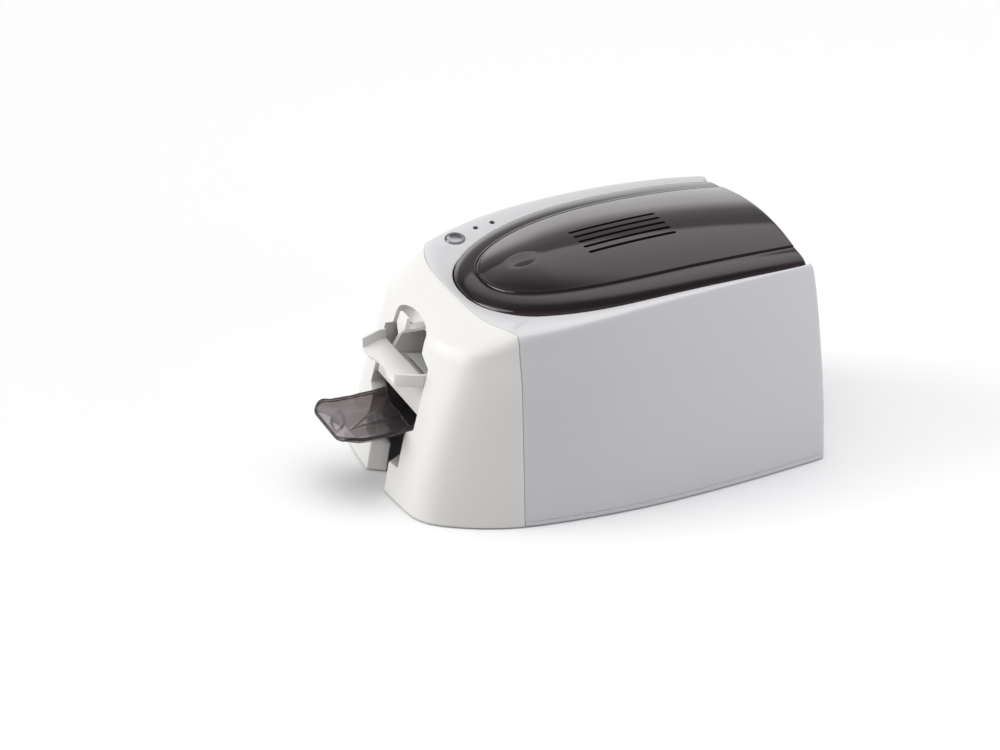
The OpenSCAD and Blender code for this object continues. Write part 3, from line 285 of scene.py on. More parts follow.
def seam_at(x):
    """How far back the joint lies on the top, which is a curve that turns at its ends."""
    return seam_front + (side_seam(seam_turn) - seam_front) * min(1.0, abs(x) / seam_half) ** 3.4


def sheet_over(bm, places):
    """Lays a flat grid over rows of places, given in millimetres."""
    rows, cols = len(places), len(places[0])
    made = bmesh.ops.create_grid(bm, x_segments=cols - 1, y_segments=rows - 1, size=0.5)["verts"]
    laid = [[None] * cols for _ in range(rows)]
    for v in made:
        r, c = round((v.co.y + 0.5) * (rows - 1)), round((v.co.x + 0.5) * (cols - 1))
        v.co = Vector(places[r][c]) * 0.001
        laid[r][c] = v
    return laid


def weld(bm, dist):
    bmesh.ops.remove_doubles(bm, verts=bm.verts[:], dist=dist)


def mirrored(bm, dist):
    """Adds the other half across the middle of the printer, and welds what meets."""
    for v in bm.verts:
        if abs(v.co.x) < 0.00002:
            v.co.x = 0
    bmesh.ops.mirror(bm, geom=bm.verts[:] + bm.edges[:] + bm.faces[:], axis="X", merge_dist=0.00001)
    weld(bm, dist)


def pulled_out(bm, edges):
    """Grows a strip of faces from edges, and gives its new points and its new edges."""
    made = bmesh.ops.extrude_edge_only(bm, edges=edges)["geom"]
    fresh = [g for g in made if isinstance(g, bmesh.types.BMVert)]
    return fresh, [g for g in made if isinstance(g, bmesh.types.BMEdge) and set(g.verts) <= set(fresh)]


def face_out(bm, reference, outward):
    """Turns all faces so that the face nearest to a place looks the given way."""
    bmesh.ops.recalc_face_normals(bm, faces=bm.faces[:])
    bm.normal_update()
    nearest = min(bm.faces, key=lambda f: (f.calc_center_median() - Vector(reference)).length)
    if nearest.normal.dot(Vector(outward)) < 0:
        bmesh.ops.reverse_faces(bm, faces=bm.faces[:])


def as_mesh(name, bm):
    mesh = bpy.data.meshes.new(name)
    bm.to_mesh(mesh)
    bm.free()
    return mesh


def piece(name, bm, material, body, replaced=()):
    """A finished piece on its body, in place of the drawn parts that it stands for."""
    mesh = as_mesh(name, bm)
    mesh.materials.append(material)
    made = placed(name, mesh)
    mesh.shade_smooth()
    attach(made, body)
    if replaced:
        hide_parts(*replaced)
    return made


def walled(made, thickness):
    """Gives a moulded skin its wall, on the inside."""
    wall = made.modifiers.new("wall", "SOLIDIFY")
    wall.thickness = thickness
    wall.offset = -1
    wall.use_even_offset = True


def edged(made, width, angle=38):
    """Rounds the sharp edges."""
    edge = made.modifiers.new("edge", "BEVEL")
    edge.width = width
    edge.segments = 2
    edge.limit_method = "ANGLE"
    edge.angle_limit = radians(angle)
    edge.miter_outer = "MITER_ARC"


def set_hard(made, crease=32):
    """Fixes the modifiers into the mesh and marks its sharp edges."""
    bpy.context.view_layer.update()
    shaped = made.evaluated_get(bpy.context.evaluated_depsgraph_get())
    fixed = bpy.data.meshes.new_from_object(shaped)
    old = made.data
    cutters = [m.object for m in made.modifiers if m.type == "BOOLEAN"]
    made.modifiers.clear()
    made.data = fixed
    fixed.name = made.name
    bpy.data.meshes.remove(old)
    for cutter in cutters:
        bpy.data.objects.remove(cutter)
    fixed.shade_smooth()
    fixed.set_sharp_from_angle(angle=radians(crease))


def linear(r, g, b):
    """A colour from its usual values of 0 to 255."""
    return tuple(c / 255 / 12.92 if c <= 10 else ((c / 255 + 0.055) / 1.055) ** 2.4
                 for c in (r, g, b)) + (1,)


def node(tree, kind, inputs=(), **settings):
    """Adds a shader node; each input takes a value or is wired to an output."""
    made = tree.nodes.new("ShaderNode" + kind)
    for setting, value in settings.items():
        setattr(made, setting, value)
    for socket, value in dict(inputs).items():
        if isinstance(value, bpy.types.NodeSocket):
            tree.links.new(value, made.inputs[socket])
        else:
            made.inputs[socket].default_value = value
    return made


def new_material(name):
    made = bpy.data.materials.new(name)
    made.use_nodes = True
    return made, made.node_tree, made.node_tree.nodes["Principled BSDF"].inputs


def clouded(tree, scale, detail, colours, stops, rough):
    """Wires a cloudy change of colour and of roughness to a material."""
    shader, wire = tree.nodes["Principled BSDF"].inputs, tree.links.new
    place = node(tree, "TexCoord").outputs["Object"]
    cloud = node(tree, "TexNoise", {"Vector": place, "Scale": scale, "Detail": detail}).outputs["Fac"]
    tint = node(tree, "ValToRGB", {"Fac": cloud})
    sheen = node(tree, "MapRange", {"Value": cloud, "To Min": rough[0], "To Max": rough[1]})
    for stop, position, colour in zip(tint.color_ramp.elements, stops, colours):
        stop.position = position
        stop.color = colour
    wire(tint.outputs["Color"], shader["Base Color"])
    wire(sheen.outputs["Result"], shader["Roughness"])
    return place


def textured(name, colour, rough, grain=1500, grain_depth=0.02, mottle=0.03, broad=9, metal=0.0):
    """A finish with a fine grain, broad changes of sheen and a little uneven colour."""
    made, tree, shader = new_material(name)
    shader["Metallic"].default_value = metal
    darker = tuple(c * (1 - mottle) for c in colour[:3]) + (1,)
    lighter = tuple(min(1.0, c * (1 + mottle * 0.6)) for c in colour[:3]) + (1,)
    place = clouded(tree, broad, 4, (darker, lighter), (0.3, 0.7), rough)
    spark = node(tree, "TexNoise", {"Vector": place, "Scale": grain, "Detail": 2}).outputs["Fac"]
    relief = node(tree, "Bump", {"Height": spark, "Strength": 0.35, "Distance": grain_depth * 0.001})
    tree.links.new(relief.outputs["Normal"], shader["Normal"])
    return made


warm_white = textured("warm white plastic", linear(239, 237, 234), rough=(0.34, 0.44), grain=1700,
                      grain_depth=0.012, mottle=0.012)
# Half of the cut-out, from the leg to the foot of the arch: each corner's (x, z), its
# radius, and the height at which the grid line from there reaches the seam
leg_x, leg_z = 16.0, 19.8
shoulder_x, shoulder_z = 25.2, 94.6
arch_half, arch_foot, arch_rise, arch_reach, arch_steps = 24.2, 104.0, 6.3, 109.0, 9
cut_out = [((leg_x, foot_z), 0, -0.2), ((leg_x, leg_z), 1.5, 16.0), ((28.8, 20.6), 1.5, 21.5),
           ((28.5, 44.2), 2.2, 47.0), ((37.6, 49.4), 2.6, 54.0), ((37.4, 89.0), 2.6, 95.0),
           ((shoulder_x, shoulder_z), 1.8, 101.0), ((arch_half, arch_foot), 0, arch_reach)]


def rounded_run(points):
    """The cut-out with its corners rounded, each point with its height on the seam."""
    run = []
    for n, (p, radius, reach) in enumerate(points):
        p = Vector(p)
        if radius == 0:
            run.append((p, reach))
            continue
        before, after = Vector(points[n - 1][0]), Vector(points[n + 1][0])
        a, b = (before - p).normalized(), (after - p).normalized()
        half = acos(max(-1, min(1, a.dot(b)))) / 2
        trim = radius / tan(half)
        share_a, share_b = trim / (before - p).length, trim / (after - p).length
        reach_a = reach + (points[n - 1][2] - reach) * share_a
        reach_b = reach + (points[n + 1][2] - reach) * share_b
        middle = p + (a + b).normalized() * (radius / sin(half))
        start, end = p + a * trim - middle, p + b * trim - middle
        turn = start.angle_signed(end)
        for k in range(5):
            spoke = start.copy()
            spoke.rotate(Matrix.Rotation(-turn * k / 4, 2))
            run.append((middle + spoke, reach_a + (reach_b - reach_a) * k / 4))
    return run


def filled_in(run, spacing):
    """Adds points so that no step is longer than the spacing."""
    out = [run[0]]
    for (p, a), (q, b) in zip(run, run[1:]):
        parts = max(1, ceil((q - p).length / spacing))
        out += [(p.lerp(q, k / parts), a + (b - a) * k / parts) for k in range(1, parts + 1)]
    return out


corner = (along_side(corner_height, side_seam(seam_turn) - seam_gap), corner_height)
edge_run = rounded_run(cut_out)
for k in range(1, arch_steps + 1):
    a = radians(90 * k / arch_steps)
    edge_run.append((Vector((arch_half * cos(a), arch_foot + arch_rise * sin(a))),
                     arch_reach + (seam_turn - arch_reach) * k / arch_steps))
edge_run = filled_in(edge_run, 1.5)
jamb_rows = len(edge_run)
# Places on the form, by length and height, along the four sides of a grid: the cut-out and
# the middle line above it, the seam down the side, the seam over the top, and the foot
left_side = []
guess = (17.0, 2.0)
for p, reach in edge_run:
    guess = settle(guess[0], guess[1], ((0, p.x), (2, p.y))) if p.x > 1e-6 else (
        0.0, settle(0.5, guess[1], ((0, 0.5), (2, p.y)))[1])
    left_side.append((guess, reach))
top_height = settle(0.5, 137, ((0, 0.5), (1, seam_at(0) - seam_gap)))[1]
brow_rows = 9
arch_height = left_side[-1][0][1]
for k in range(1, brow_rows + 1):
    left_side.append(((0.0, arch_height + (top_height - arch_height) * k / brow_rows),
                      seam_turn + (corner[1] - seam_turn) * k / brow_rows))
right_side = []
for _, reach in left_side:
    reach = min(reach, corner[1])
    right_side.append((along_side(reach, side_seam(min(reach, seam_turn)) - seam_gap), reach))
right_side[-1] = corner
across_steps, closer_in = 46, 1.25
shares = [(k / across_steps) ** closer_in for k in range(across_steps + 1)]
top_side, guess = [], (0.0, top_height)
for share in shares:
    x = max(0.4, seam_half * share)
    guess = settle(max(guess[0], 0.4), guess[1], ((0, x), (1, seam_at(x) - seam_gap)))
    top_side.append(guess)
top_side[0], top_side[-1] = left_side[-1][0], corner
foot_side = [(left_side[0][0][0] + (right_side[0][0] - left_side[0][0][0]) * s,
              left_side[0][0][1] * (1 - s) + right_side[0][1] * s) for s in shares]
lengths = [0.0]
for (a, _), (b, _) in zip(left_side, left_side[1:]):
    lengths.append(lengths[-1] + hypot(a[0] - b[0], a[1] - b[1]))
rows = []
for r, length in enumerate(lengths):
    v = length / lengths[-1]
    row = []
    for c, u in enumerate(shares):
        spot = [0, 0]
        for n in (0, 1):
            left, right = left_side[r][0][n], right_side[r][n]
            below, above = foot_side[c][n], top_side[c][n]
            corners = ((1 - u) * (1 - v) * foot_side[0][n] + u * (1 - v) * foot_side[-1][n]
                       + (1 - u) * v * top_side[0][n] + u * v * top_side[-1][n])
            spot[n] = (1 - u) * left + u * right + (1 - v) * below + v * above - corners
        row.append(skin(max(0.0, spot[0]), max(-1.0, spot[1])))
    rows.append(row)
bm = bmesh.new()
laid = sheet_over(bm, rows)
# Rolled edge round the cut-out, and the jamb behind it, which is splayed at the legs and
# less deep at the arch
jamb_depth, less_at_arch, leg_splay, roll = 0.0095, 0.0055, 0.73, 0.0005
inward = []
for r in range(jamb_rows):
    run = laid[min(r + 1, jamb_rows - 1)][0].co - laid[max(r - 1, 0)][0].co
    if r == jamb_rows - 1:
        run = Vector((-1, 0, 0))
    facing = (laid[r][1].co - laid[r][0].co).cross(run)
    inward.append(run.cross(facing).normalized())
    if inward[-1].dot(laid[r][1].co - laid[r][0].co) > 0:
        inward[-1].negate()
rim_verts = [laid[r][0] for r in range(jamb_rows)]
starts = [v.co.copy() for v in rim_verts]
behind, depths = [], []
for r in range(jamb_rows):
    p = edge_run[r][0]
    splay = leg_splay * (1 - min(1.0, max(0.0, (p.x - leg_x - 0.3) / 12.0)))
    behind.append(Vector((-splay if p.y < leg_z + 0.9 else 0.0, 1, 0)))
    depths.append(jamb_depth - less_at_arch * eased_step(p.y, 84, 95))
stages = [(sin(a) * roll, (1 - cos(a)) * roll, 0) for a in map(radians, (30, 60, 90))]
stages += [(roll, roll, share) for share in (0.25, 0.6, 1)]
edges = [e for e in (bm.edges.get((a, b)) for a, b in zip(rim_verts, rim_verts[1:])) if e]
for side, back, share in stages:
    fresh, edges = pulled_out(bm, edges)
    partner = {}
    for v in fresh:
        for e in v.link_edges:
            other = e.other_vert(v)
            if other not in fresh:
                partner[other] = v
    rim_verts = [partner[v] for v in rim_verts]
    for v, start, m, d, deep in zip(rim_verts, starts, inward, behind, depths):
        v.co = start + m * side + d * (back + share * deep)
arch_edge = [v.co * 1000 for v, (p, _) in zip(rim_verts, edge_run)
             if p.y > shoulder_z - 0.4 and p.x < shoulder_x + 0.4]
mirrored(bm, 0.00001)
face_out(bm, (0.06, -0.11, 0.06), (0, -1, 0.3))
front_shell = piece("front_shell_moulding", bm, warm_white, "housing", ("front_shell",))
# The wall thins towards the rolled edge, so that its inside stays within the roll
near_edge = KDTree(len(starts))
for n, start in enumerate(starts):
    near_edge.insert(start, n)
near_edge.balance()
wall_share = front_shell.vertex_groups.new(name="wall share")
for v in front_shell.data.vertices:
    gap = near_edge.find(Vector((abs(v.co.x), v.co.y, v.co.z)))[2]
    wall_share.add([v.index], min(1.0, 0.12 + gap / 0.007), "REPLACE")
walled(front_shell, shell_wall * 0.001)
front_shell.modifiers["wall"].vertex_group = "wall share"
edged(front_shell, 0.00035)
set_hard(front_shell)


# ---------------------------------------------------------------- body shell
# The light grey moulding that forms both sides, the back and the sloping rim round the
# lid. It stands on the base pan, carries the hinge ears at the rear and has an opening
# in its back for the socket panel.
light_grey = textured("light grey plastic", linear(221, 220, 222), rough=(0.42, 0.54), grain=1500,
                      grain_depth=0.02, mottle=0.012)
def steps(start, end, parts):
    """Even steps from start to end, without the start itself."""
    return [start + (end - start) * k / parts for k in range(1, parts + 1)]


# Grid lines up the wall to the corner of the seam and on over the rim, and along the side,
# closer together through the rear corner, and across the back
closer_from, closer_to = 334, 350
body_corner = (along_side(corner_height, side_seam(seam_turn) + seam_gap), corner_height)
heights = [3.2, 5, 8, 13, 20, 28, 37, 46, 55, 64, 72, 80, 88, 95, 101, 105, 108, 110.5, 113, 115, 117,
           119, 121, 123, 125, 127, 129, 131, 133, corner_height]
rim_rows, blend_columns = 9, 13
heights += steps(corner_height, rim_end, rim_rows)
columns_at = [body_corner[0] + 2.5 * k for k in range(blend_columns + 1)]
columns_at += steps(columns_at[-1], closer_from, 42) + steps(closer_from, closer_to, 16)
columns_at += steps(closer_to, foot_length, 15)
rows = []
for h in heights:
    shift = 0.0
    if h < corner_height:
        shift = along_side(h, side_seam(min(h, seam_turn)) + seam_gap) - body_corner[0]
    rows.append([skin(a + shift * max(0.0, 1 - c / blend_columns), h) for c, a in enumerate(columns_at)])
bm = bmesh.new()
sheet_over(bm, rows)
# The nose of the rim, between the seam over the top and the lid
nose_steps = 40
starts, guess = [], (0.0, top_height)
for k in range(nose_steps + 1):
    x = max(0.4, seam_half * (k / nose_steps))
    guess = settle(max(guess[0], 0.4), guess[1], ((0, x), (1, seam_at(x) + seam_gap)))
    starts.append(guess)
starts[0] = (0.0, starts[0][1])
starts[-1] = body_corner
sheet_over(bm, [[skin(a, h + (rim_end - h) * k / rim_rows) for a, h in starts]
                for k in range(rim_rows + 1)])
weld(bm, 0.00002)
mirrored(bm, 0.00002)
# Opening for the socket panel
socket_left, socket_right, socket_low, socket_high = -0.069, 0.023, 0.0096, 0.0496


def on_the_back(face, top=0.075):
    return face.calc_center_median().y > 0.13 and face.calc_center_median().z < top


for place, normal in ((socket_left, Vector((1, 0, 0))), (socket_right, Vector((1, 0, 0))),
                      (socket_low, Vector((0, 0, 1))), (socket_high, Vector((0, 0, 1)))):
    back = [f for f in bm.faces if on_the_back(f)]
    back += [g for g in bm.edges[:] + bm.verts[:] if any(map(on_the_back, g.link_faces))]
    bmesh.ops.bisect_plane(bm, geom=back, plane_co=normal * place, plane_no=normal, dist=1e-6)
opening = [f for f in bm.faces if on_the_back(f, socket_high) and f.calc_center_median().z > socket_low
           and socket_left < f.calc_center_median().x < socket_right]
bmesh.ops.delete(bm, geom=opening, context="FACES")
face_out(bm, (0.095, 0.03, 0.06), (1, 0, 0))
body_shell = piece("body_shell_moulding", bm, light_grey, "housing", ("body_shell",))
walled(body_shell, shell_wall * 0.001)
edged(body_shell, 0.00035)
set_hard(body_shell)


# ---------------------------------------------------------------- lid
# A smoked polycarbonate cover: a rounded band round the outside, a fine bead and groove,
# and a raised glossy panel with a thumb dimple and five vent slots. Its rear edge is
# rolled and turns on two pins.
hinge_y, hinge_z = 136.5, lid_edge_z(136.5) - 1.5
lid_rear = hinge_y + 1.6
panel_half, panel_nose, panel_spine = 55.0, -48.3, -15.8
# Inward from the lid's edge and up from its edge line
band = [(0, -3.0), (0, -1.2), (0, -0.2), (0.1, 0.35), (0.3, 0.85), (0.65, 1.35), (1.2, 1.8), (2.1, 2.3),
        (3.3, 2.75), (4.8, 3.15), (6.6, 3.5), (8.6, 3.8), (10.8, 4.05), (13, 4.25), (15, 4.4),
        (16.8, 4.5), (18.2, 4.6), (18.7, 4.7), (19.0, 4.78), (19.25, 4.72), (19.42, 4.5), (19.5, 4.1),
        (19.55, 3.2), (19.85, 3.05), (20.25, 3.05), (20.5, 3.2), (20.55, 4.2), (20.64, 4.75),
        (20.85, 5.1), (21.15, 5.36), (21.6, 5.52)]
lid_rear_bow = 2.4


def lid_back(x):
    """How far back the lid reaches, which is a little less at its sides."""
    return lid_rear - lid_rear_bow * (x / 71) ** 2


def lid_place(q, half_width, nose):
    """A place on a lid outline: q runs from the nose, 0, past the widest part, 1, to the rear, 2."""
    if q <= 1:
        return Vector(lid_front(radians(90 * q), half_width, nose))
    y = lid_mid + (lid_rear - lid_mid) * (q - 1)
    for _ in range(3):
        y = lid_mid + (lid_back(lid_half(y, half_width, nose)) - lid_mid) * (q - 1)
    return Vector((lid_half(y, half_width, nose), y))


def panel_share(x, y):
    """0 on the spine of the raised panel and 1 on its edge."""
    if y >= panel_spine:
        return abs(x) / lid_half(y, panel_half, panel_nose)
    low, high = 1e-4, 1.6
    for _ in range(26):
        mid = (low + high) / 2
        fill = (abs(x) / (mid * panel_half)) ** lid_power
        fill += ((lid_mid - panel_spine - (y - panel_spine) / mid) / (lid_mid - panel_nose)) ** lid_power
        low, high = (mid, high) if fill > 1 else (low, mid)
    return (low + high) / 2


panel_rise, panel_crown = 5.6, 4.9
dimple_y, dimple_radius, dimple_depth = -23.5, 11.0, 0.62


def panel_z(x, y):
    """Height of the crowned panel, with the thumb dimple in its nose."""
    z = lid_edge_z(y) + panel_rise + panel_crown * (1 - panel_share(x, y) ** 2)
    away = min(1.0, hypot(x, y - dimple_y) / dimple_radius)
    return z - dimple_depth * (1 - away * away) ** 1.5


stations = [k / 70 for k in range(70)] + [1 + k / 66 for k in range(67)]
band_side, band_nose = 20.5, 13
rings = []
for inset, rise in band:
    ring = []
    for q in stations:
        p = lid_place(q, lid_half_width - inset, lid_nose + inset * band_nose / band_side)
        ring.append((p.x, p.y, lid_edge_z(p.y) + rise))
    rings.append(ring)
inner_share, panel_loops = 0.55, 12
for k in range(panel_loops + 1):
    share = 1 - (1 - inner_share) * (k / panel_loops) ** 1.15
    ring = []
    for q in stations:
        p = lid_place(q, panel_half, panel_nose)
        x = p.x * share
        y = p.y if p.y >= panel_spine else panel_spine + (p.y - panel_spine) * share
        y += (lid_back(x) - lid_back(p.x)) * max(0.0, q - 1)
        ring.append((x, y, panel_z(x, y)))
    rings.append(ring)
bm = bmesh.new()
sheet_over(bm, rings)
mirrored(bm, 0.000004)
# Middle of the panel, patched between the nose arc, the two sides and the rear
inner = [Vector(p) for p in rings[-1]]
turn = 40
right = inner[turn:]
left = [Vector((-p.x, p.y, p.z)) for p in right]
nose = [Vector((-p.x, p.y, p.z)) for p in inner[turn:0:-1]] + inner[:turn + 1]
rear = [left[-1].lerp(right[-1], k / (2 * turn)) for k in range(2 * turn + 1)]
for p in rear:
    p.y = lid_back(p.x)
patch = []
for r in range(len(right)):
    v = r / (len(right) - 1)
    row = []
    for c in range(2 * turn + 1):
        u = c / (2 * turn)
        spot = (left[r] * (1 - u) + right[r] * u + nose[c] * (1 - v) + rear[c] * v
                - nose[0] * (1 - u) * (1 - v) - nose[-1] * u * (1 - v)
                - rear[0] * (1 - u) * v - rear[-1] * u * v)
        row.append((spot.x, spot.y, panel_z(spot.x, spot.y)))
    patch.append(row)
sheet_over(bm, patch)
weld(bm, 0.00002)
# Rear edge, rolled down to the hinge line
tail = [e for e in bm.edges if e.is_boundary
        and all(v.co.y > (lid_back(v.co.x * 1000) - 0.05) * 0.001 for v in e.verts)]
floor_z = (lid_edge_z(lid_rear) - 1.8) * 0.001
for back, drop in ((0.0003, 0.00008), (0.00055, 0.0003), (0.00065, 0.0006), (0.00065, 0.004),
                   (0.0006, 0.02)):
    fresh, tail = pulled_out(bm, tail)
    for v in fresh:
        v.co.y = lid_back(v.co.x * 1000) * 0.001 + back
        v.co.z = max(floor_z, v.co.z - drop)
weld(bm, 0.000004)
face_out(bm, (0, 0.05, 0.144), (0, 0, 1))
smoked = textured("smoked plastic", linear(39, 33, 36), rough=(0.05, 0.08), grain=40, grain_depth=0.01,
                  mottle=0.1, broad=5)
smoked_shader = smoked.node_tree.nodes["Principled BSDF"].inputs
smoked_shader["IOR"].default_value = 1.58
smoked_shader["Specular Tint"].default_value = (1.0, 0.9, 0.97, 1)
lid = piece("lid_moulding", bm, smoked, "lid", ("lid",))
walled(lid, 0.0022)
slot_width, slot_length, slot_pitch, slot_middle, slot_corner = 0.0031, 0.059, 0.008, 0.044, 0.00145
slots = bmesh.new()
for n in range(-2, 3):
    slot = bmesh.ops.create_cube(slots, size=1)["verts"]
    bmesh.ops.scale(slots, vec=(slot_width, slot_length, 0.03), verts=slot)
    bmesh.ops.translate(slots, vec=(n * slot_pitch, slot_middle, 0.14), verts=slot)
    ends = [e for e in slots.edges if all(v in slot for v in e.verts)
            and abs(e.verts[0].co.z - e.verts[1].co.z) > 0.01]
    bmesh.ops.bevel(slots, geom=ends, offset=slot_corner, segments=5, affect="EDGES", profile=0.5,
                    material=-1)


def cut_away(made, name, bm):
    """Takes a shape out of a piece."""
    cut = made.modifiers.new("cut", "BOOLEAN")
    cut.operation = "DIFFERENCE"
    cut.solver = "EXACT"
    cut.object = placed(name, as_mesh(name, bm))


cut_away(lid, "slots", slots)
set_hard(lid, 40)
# A knuckle for each hinge pin, a short tube under the rear edge
knuckle_x, knuckle_length, knuckle_radius = 0.047, 0.0139, 0.0027
for name, x in (("lid_knuckle_left", -knuckle_x), ("lid_knuckle_right", knuckle_x)):
    ring = bmesh.new()
    bmesh.ops.create_circle(ring, segments=40, radius=knuckle_radius, cap_ends=False)
    bmesh.ops.rotate(ring, cent=(0, 0, 0), matrix=Matrix.Rotation(radians(90), 3, "Y"),
                     verts=ring.verts[:])
    far_end, _ = pulled_out(ring, ring.edges[:])
    bmesh.ops.translate(ring, vec=(knuckle_length, 0, 0), verts=far_end)
    bmesh.ops.translate(ring, vec=(x - knuckle_length / 2, hinge_y * 0.001, hinge_z * 0.001),
                        verts=ring.verts[:])
    face_out(ring, (x, hinge_y * 0.001, 0.2), (0, 0, 1))
    knuckle = piece(name, ring, smoked, "lid")
    walled(knuckle, 0.00115)
    edged(knuckle, 0.0003)
    set_hard(knuckle)


# ---------------------------------------------------------------- hinge ears
# Two pairs of ribs moulded inside the back of the body shell. Each rib ends in a round
# boss that holds a hinge pin, with a lid knuckle between the bosses of a pair.
back_along, back_height = settle(362, 118.0, ((0, 47), (2, 118)))
rib_back = skin(back_along, back_height).y - 0.9
boss_radius, rib_width = 3, 4.8
rib_side = [(hinge_y + boss_radius * cos(a), hinge_z + boss_radius * sin(a))
            for a in map(radians, range(34, 218, 8))]
rib_side += [(hinge_y + 1.5, 115), (rib_back, 112), (rib_back, 120)]
for number, x in enumerate((-56.9, -37.1, 37.1, 56.9), 1):
    rib = bmesh.new()
    flat = rib.faces.new([rib.verts.new(Vector((x - rib_width / 2, y, z)) * 0.001) for y, z in rib_side])
    thick = bmesh.ops.extrude_face_region(rib, geom=[flat])["geom"]
    far_side = [g for g in thick if isinstance(g, bmesh.types.BMVert)]
    bmesh.ops.translate(rib, vec=(rib_width * 0.001, 0, 0), verts=far_side)
    bmesh.ops.recalc_face_normals(rib, faces=rib.faces[:])
    ear = piece("hinge_ear_%d" % number, rib, light_grey, "housing")
    edged(ear, 0.0004)
    set_hard(ear)


# ---------------------------------------------------------------- base trim
# The bottom edge of the base pan shows as a narrow band below the body shell. The pan is
# moulded in the same light grey; the band follows the foot of the printer round the back.
def softened(part, material, body, width, change=None):
    """A drawn part, welded, with its edges rounded to a width in millimetres."""
    bm = bmesh.new()
    bm.from_mesh(frame["nodes"][part].data)
    weld(bm, 0.000004)
    bmesh.ops.dissolve_degenerate(bm, edges=bm.edges[:], dist=0.000004)
    bmesh.ops.dissolve_limit(bm, angle_limit=radians(1), verts=bm.verts[:], edges=bm.edges[:])
    if change:
        change(bm)
    made = piece(part + "_finished", bm, material, body, (part,))
    edged(made, width * 0.001, angle=35)
    set_hard(made, 40)


def pull_in(bm):
    """Keeps the foot of the pan inside the trim, behind the front shell."""
    trim_wall, side_end, pan_rear = 1.3, 143, 0.1485
    for v in bm.verts:
        if v.co.z < 0.0045 and v.co.y > -0.062:
            y = v.co.y * 1000
            along = along_side(1.0, y) if y < side_end else rear_turn
            widest = (skin(along, 1.0).x - trim_wall) * 0.001
            if abs(v.co.x) > widest:
                v.co.x = copysign(widest, v.co.x)
            v.co.y = min(v.co.y, pan_rear)


trim_from = along_side(1.0, side_seam(0) + 0.3)
trim_steps = [trim_from] + steps(trim_from, closer_from, 50) + steps(closer_from, closer_to, 16)
trim_steps += steps(closer_to, foot_length, 12)
bm = bmesh.new()
sheet_over(bm, [[skin(a, h) for a in trim_steps] for h in (0, 0.35, 1.5, 2.7, 3.0)])
mirrored(bm, 0.00002)
face_out(bm, (0.098, 0.03, 0.003), (1, 0, 0))
base_trim = piece("base_trim", bm, light_grey, "housing")
walled(base_trim, 0.002)
edged(base_trim, 0.0004)
set_hard(base_trim)
softened("base_pan", light_grey, "housing", 0.25, change=pull_in)


# ---------------------------------------------------------------- power button and lights
# A bright disc in a shallow well with a fine bezel, and two small round light pipes in
# the rim. The button has a raised ring and a dished middle with a radial sheen.
def on_rim(x, y):
    """Place and slope of the rim above a point, from three places near it."""
    tried = [(corner_along + k, h) for k in range(0, 70, 3) for h in range(137, 147, 2)]
    near = min(tried, key=lambda t: (skin(*t).xy - Vector((abs(x), y))).length)
    a, h = settle(near[0], near[1], ((0, abs(x)), (1, y)))
    p = skin(a, h)
    normal = (skin(a + 0.5, h) - p).cross(skin(a, h + 0.5) - p).normalized()
    if normal.z < 0:
        normal = -normal
    side = copysign(1, x)
    return Vector((side * p.x, p.y, p.z)), Vector((side * normal.x, normal.y, normal.z))


def turned(profile, centre, axis, steps=48):
    """A round part turned from a half profile of (radius, height) pairs about an axis."""
    bm = bmesh.new()
    made = [bm.verts.new((r * 0.001, 0, z * 0.001)) for r, z in profile]
    edges = [bm.edges.new(pair) for pair in zip(made, made[1:])]
    bmesh.ops.spin(bm, geom=made + edges, cent=(0, 0, 0), axis=(0, 0, 1), angle=tau, steps=steps,
                   use_merge=True)
    weld(bm, 0.000002)
    bmesh.ops.recalc_face_normals(bm, faces=bm.faces[:])
    turn = Vector((0, 0, 1)).rotation_difference(axis).to_matrix().to_4x4()
    bmesh.ops.transform(bm, matrix=Matrix.Translation(centre * 0.001) @ turn, verts=bm.verts[:])
    return bm


button_centre, rim_axis = on_rim(-69.5, -40.5)
button_metal = textured("bright button finish", linear(205, 206, 209), rough=(0.16, 0.3), grain=900,
                        grain_depth=0.006, mottle=0.25, broad=160, metal=0.85)
bezel_paint = textured("button bezel", linear(150, 151, 154), rough=(0.3, 0.4), metal=0.5)
disc = [(0, -0.35), (2.2, -0.3), (3.6, -0.1), (4.5, 0.25), (4.9, 0.5), (5.25, 0.55), (5.55, 0.4),
        (5.7, 0.1), (5.7, -4.0), (0, -4.0)]
piece("power_button_disc", turned(disc, button_centre, rim_axis), button_metal, "button",
      ("power_button",))
bezel = [(5.95, -1.2), (5.95, 0.25), (6.1, 0.42), (6.35, 0.42), (6.6, 0.2), (6.62, 0.05), (6.62, -1.2),
         (5.95, -1.2)]
piece("power_button_bezel", turned(bezel, button_centre, rim_axis), bezel_paint, "housing")
well = [(0, 4), (6.6, 4), (6.6, -6), (0, -6)]
cut_away(body_shell, "well", turned(well, button_centre, rim_axis))
pipe_finish = textured("clear light pipe", linear(62, 60, 62), rough=(0.1, 0.16), grain=200)
hole = [(0, 3), (1.75, 3), (1.75, -5), (0, -5)]
lens = [(0, 0.15), (0.8, 0.1), (1.3, -0.1), (1.6, -0.45), (1.62, -3.2), (0, -3.2)]
for n, (x, y) in enumerate(((-75.5, -24), (-77, -12))):
    centre, axis = on_rim(x, y)
    cut_away(body_shell, "hole", turned(hole, centre, axis, 24))
    piece("light_pipe_%d" % (n + 1), turned(lens, centre, axis, 24), pipe_finish, "housing",
          ("light_pipes",) if n == 0 else ())
set_hard(body_shell)


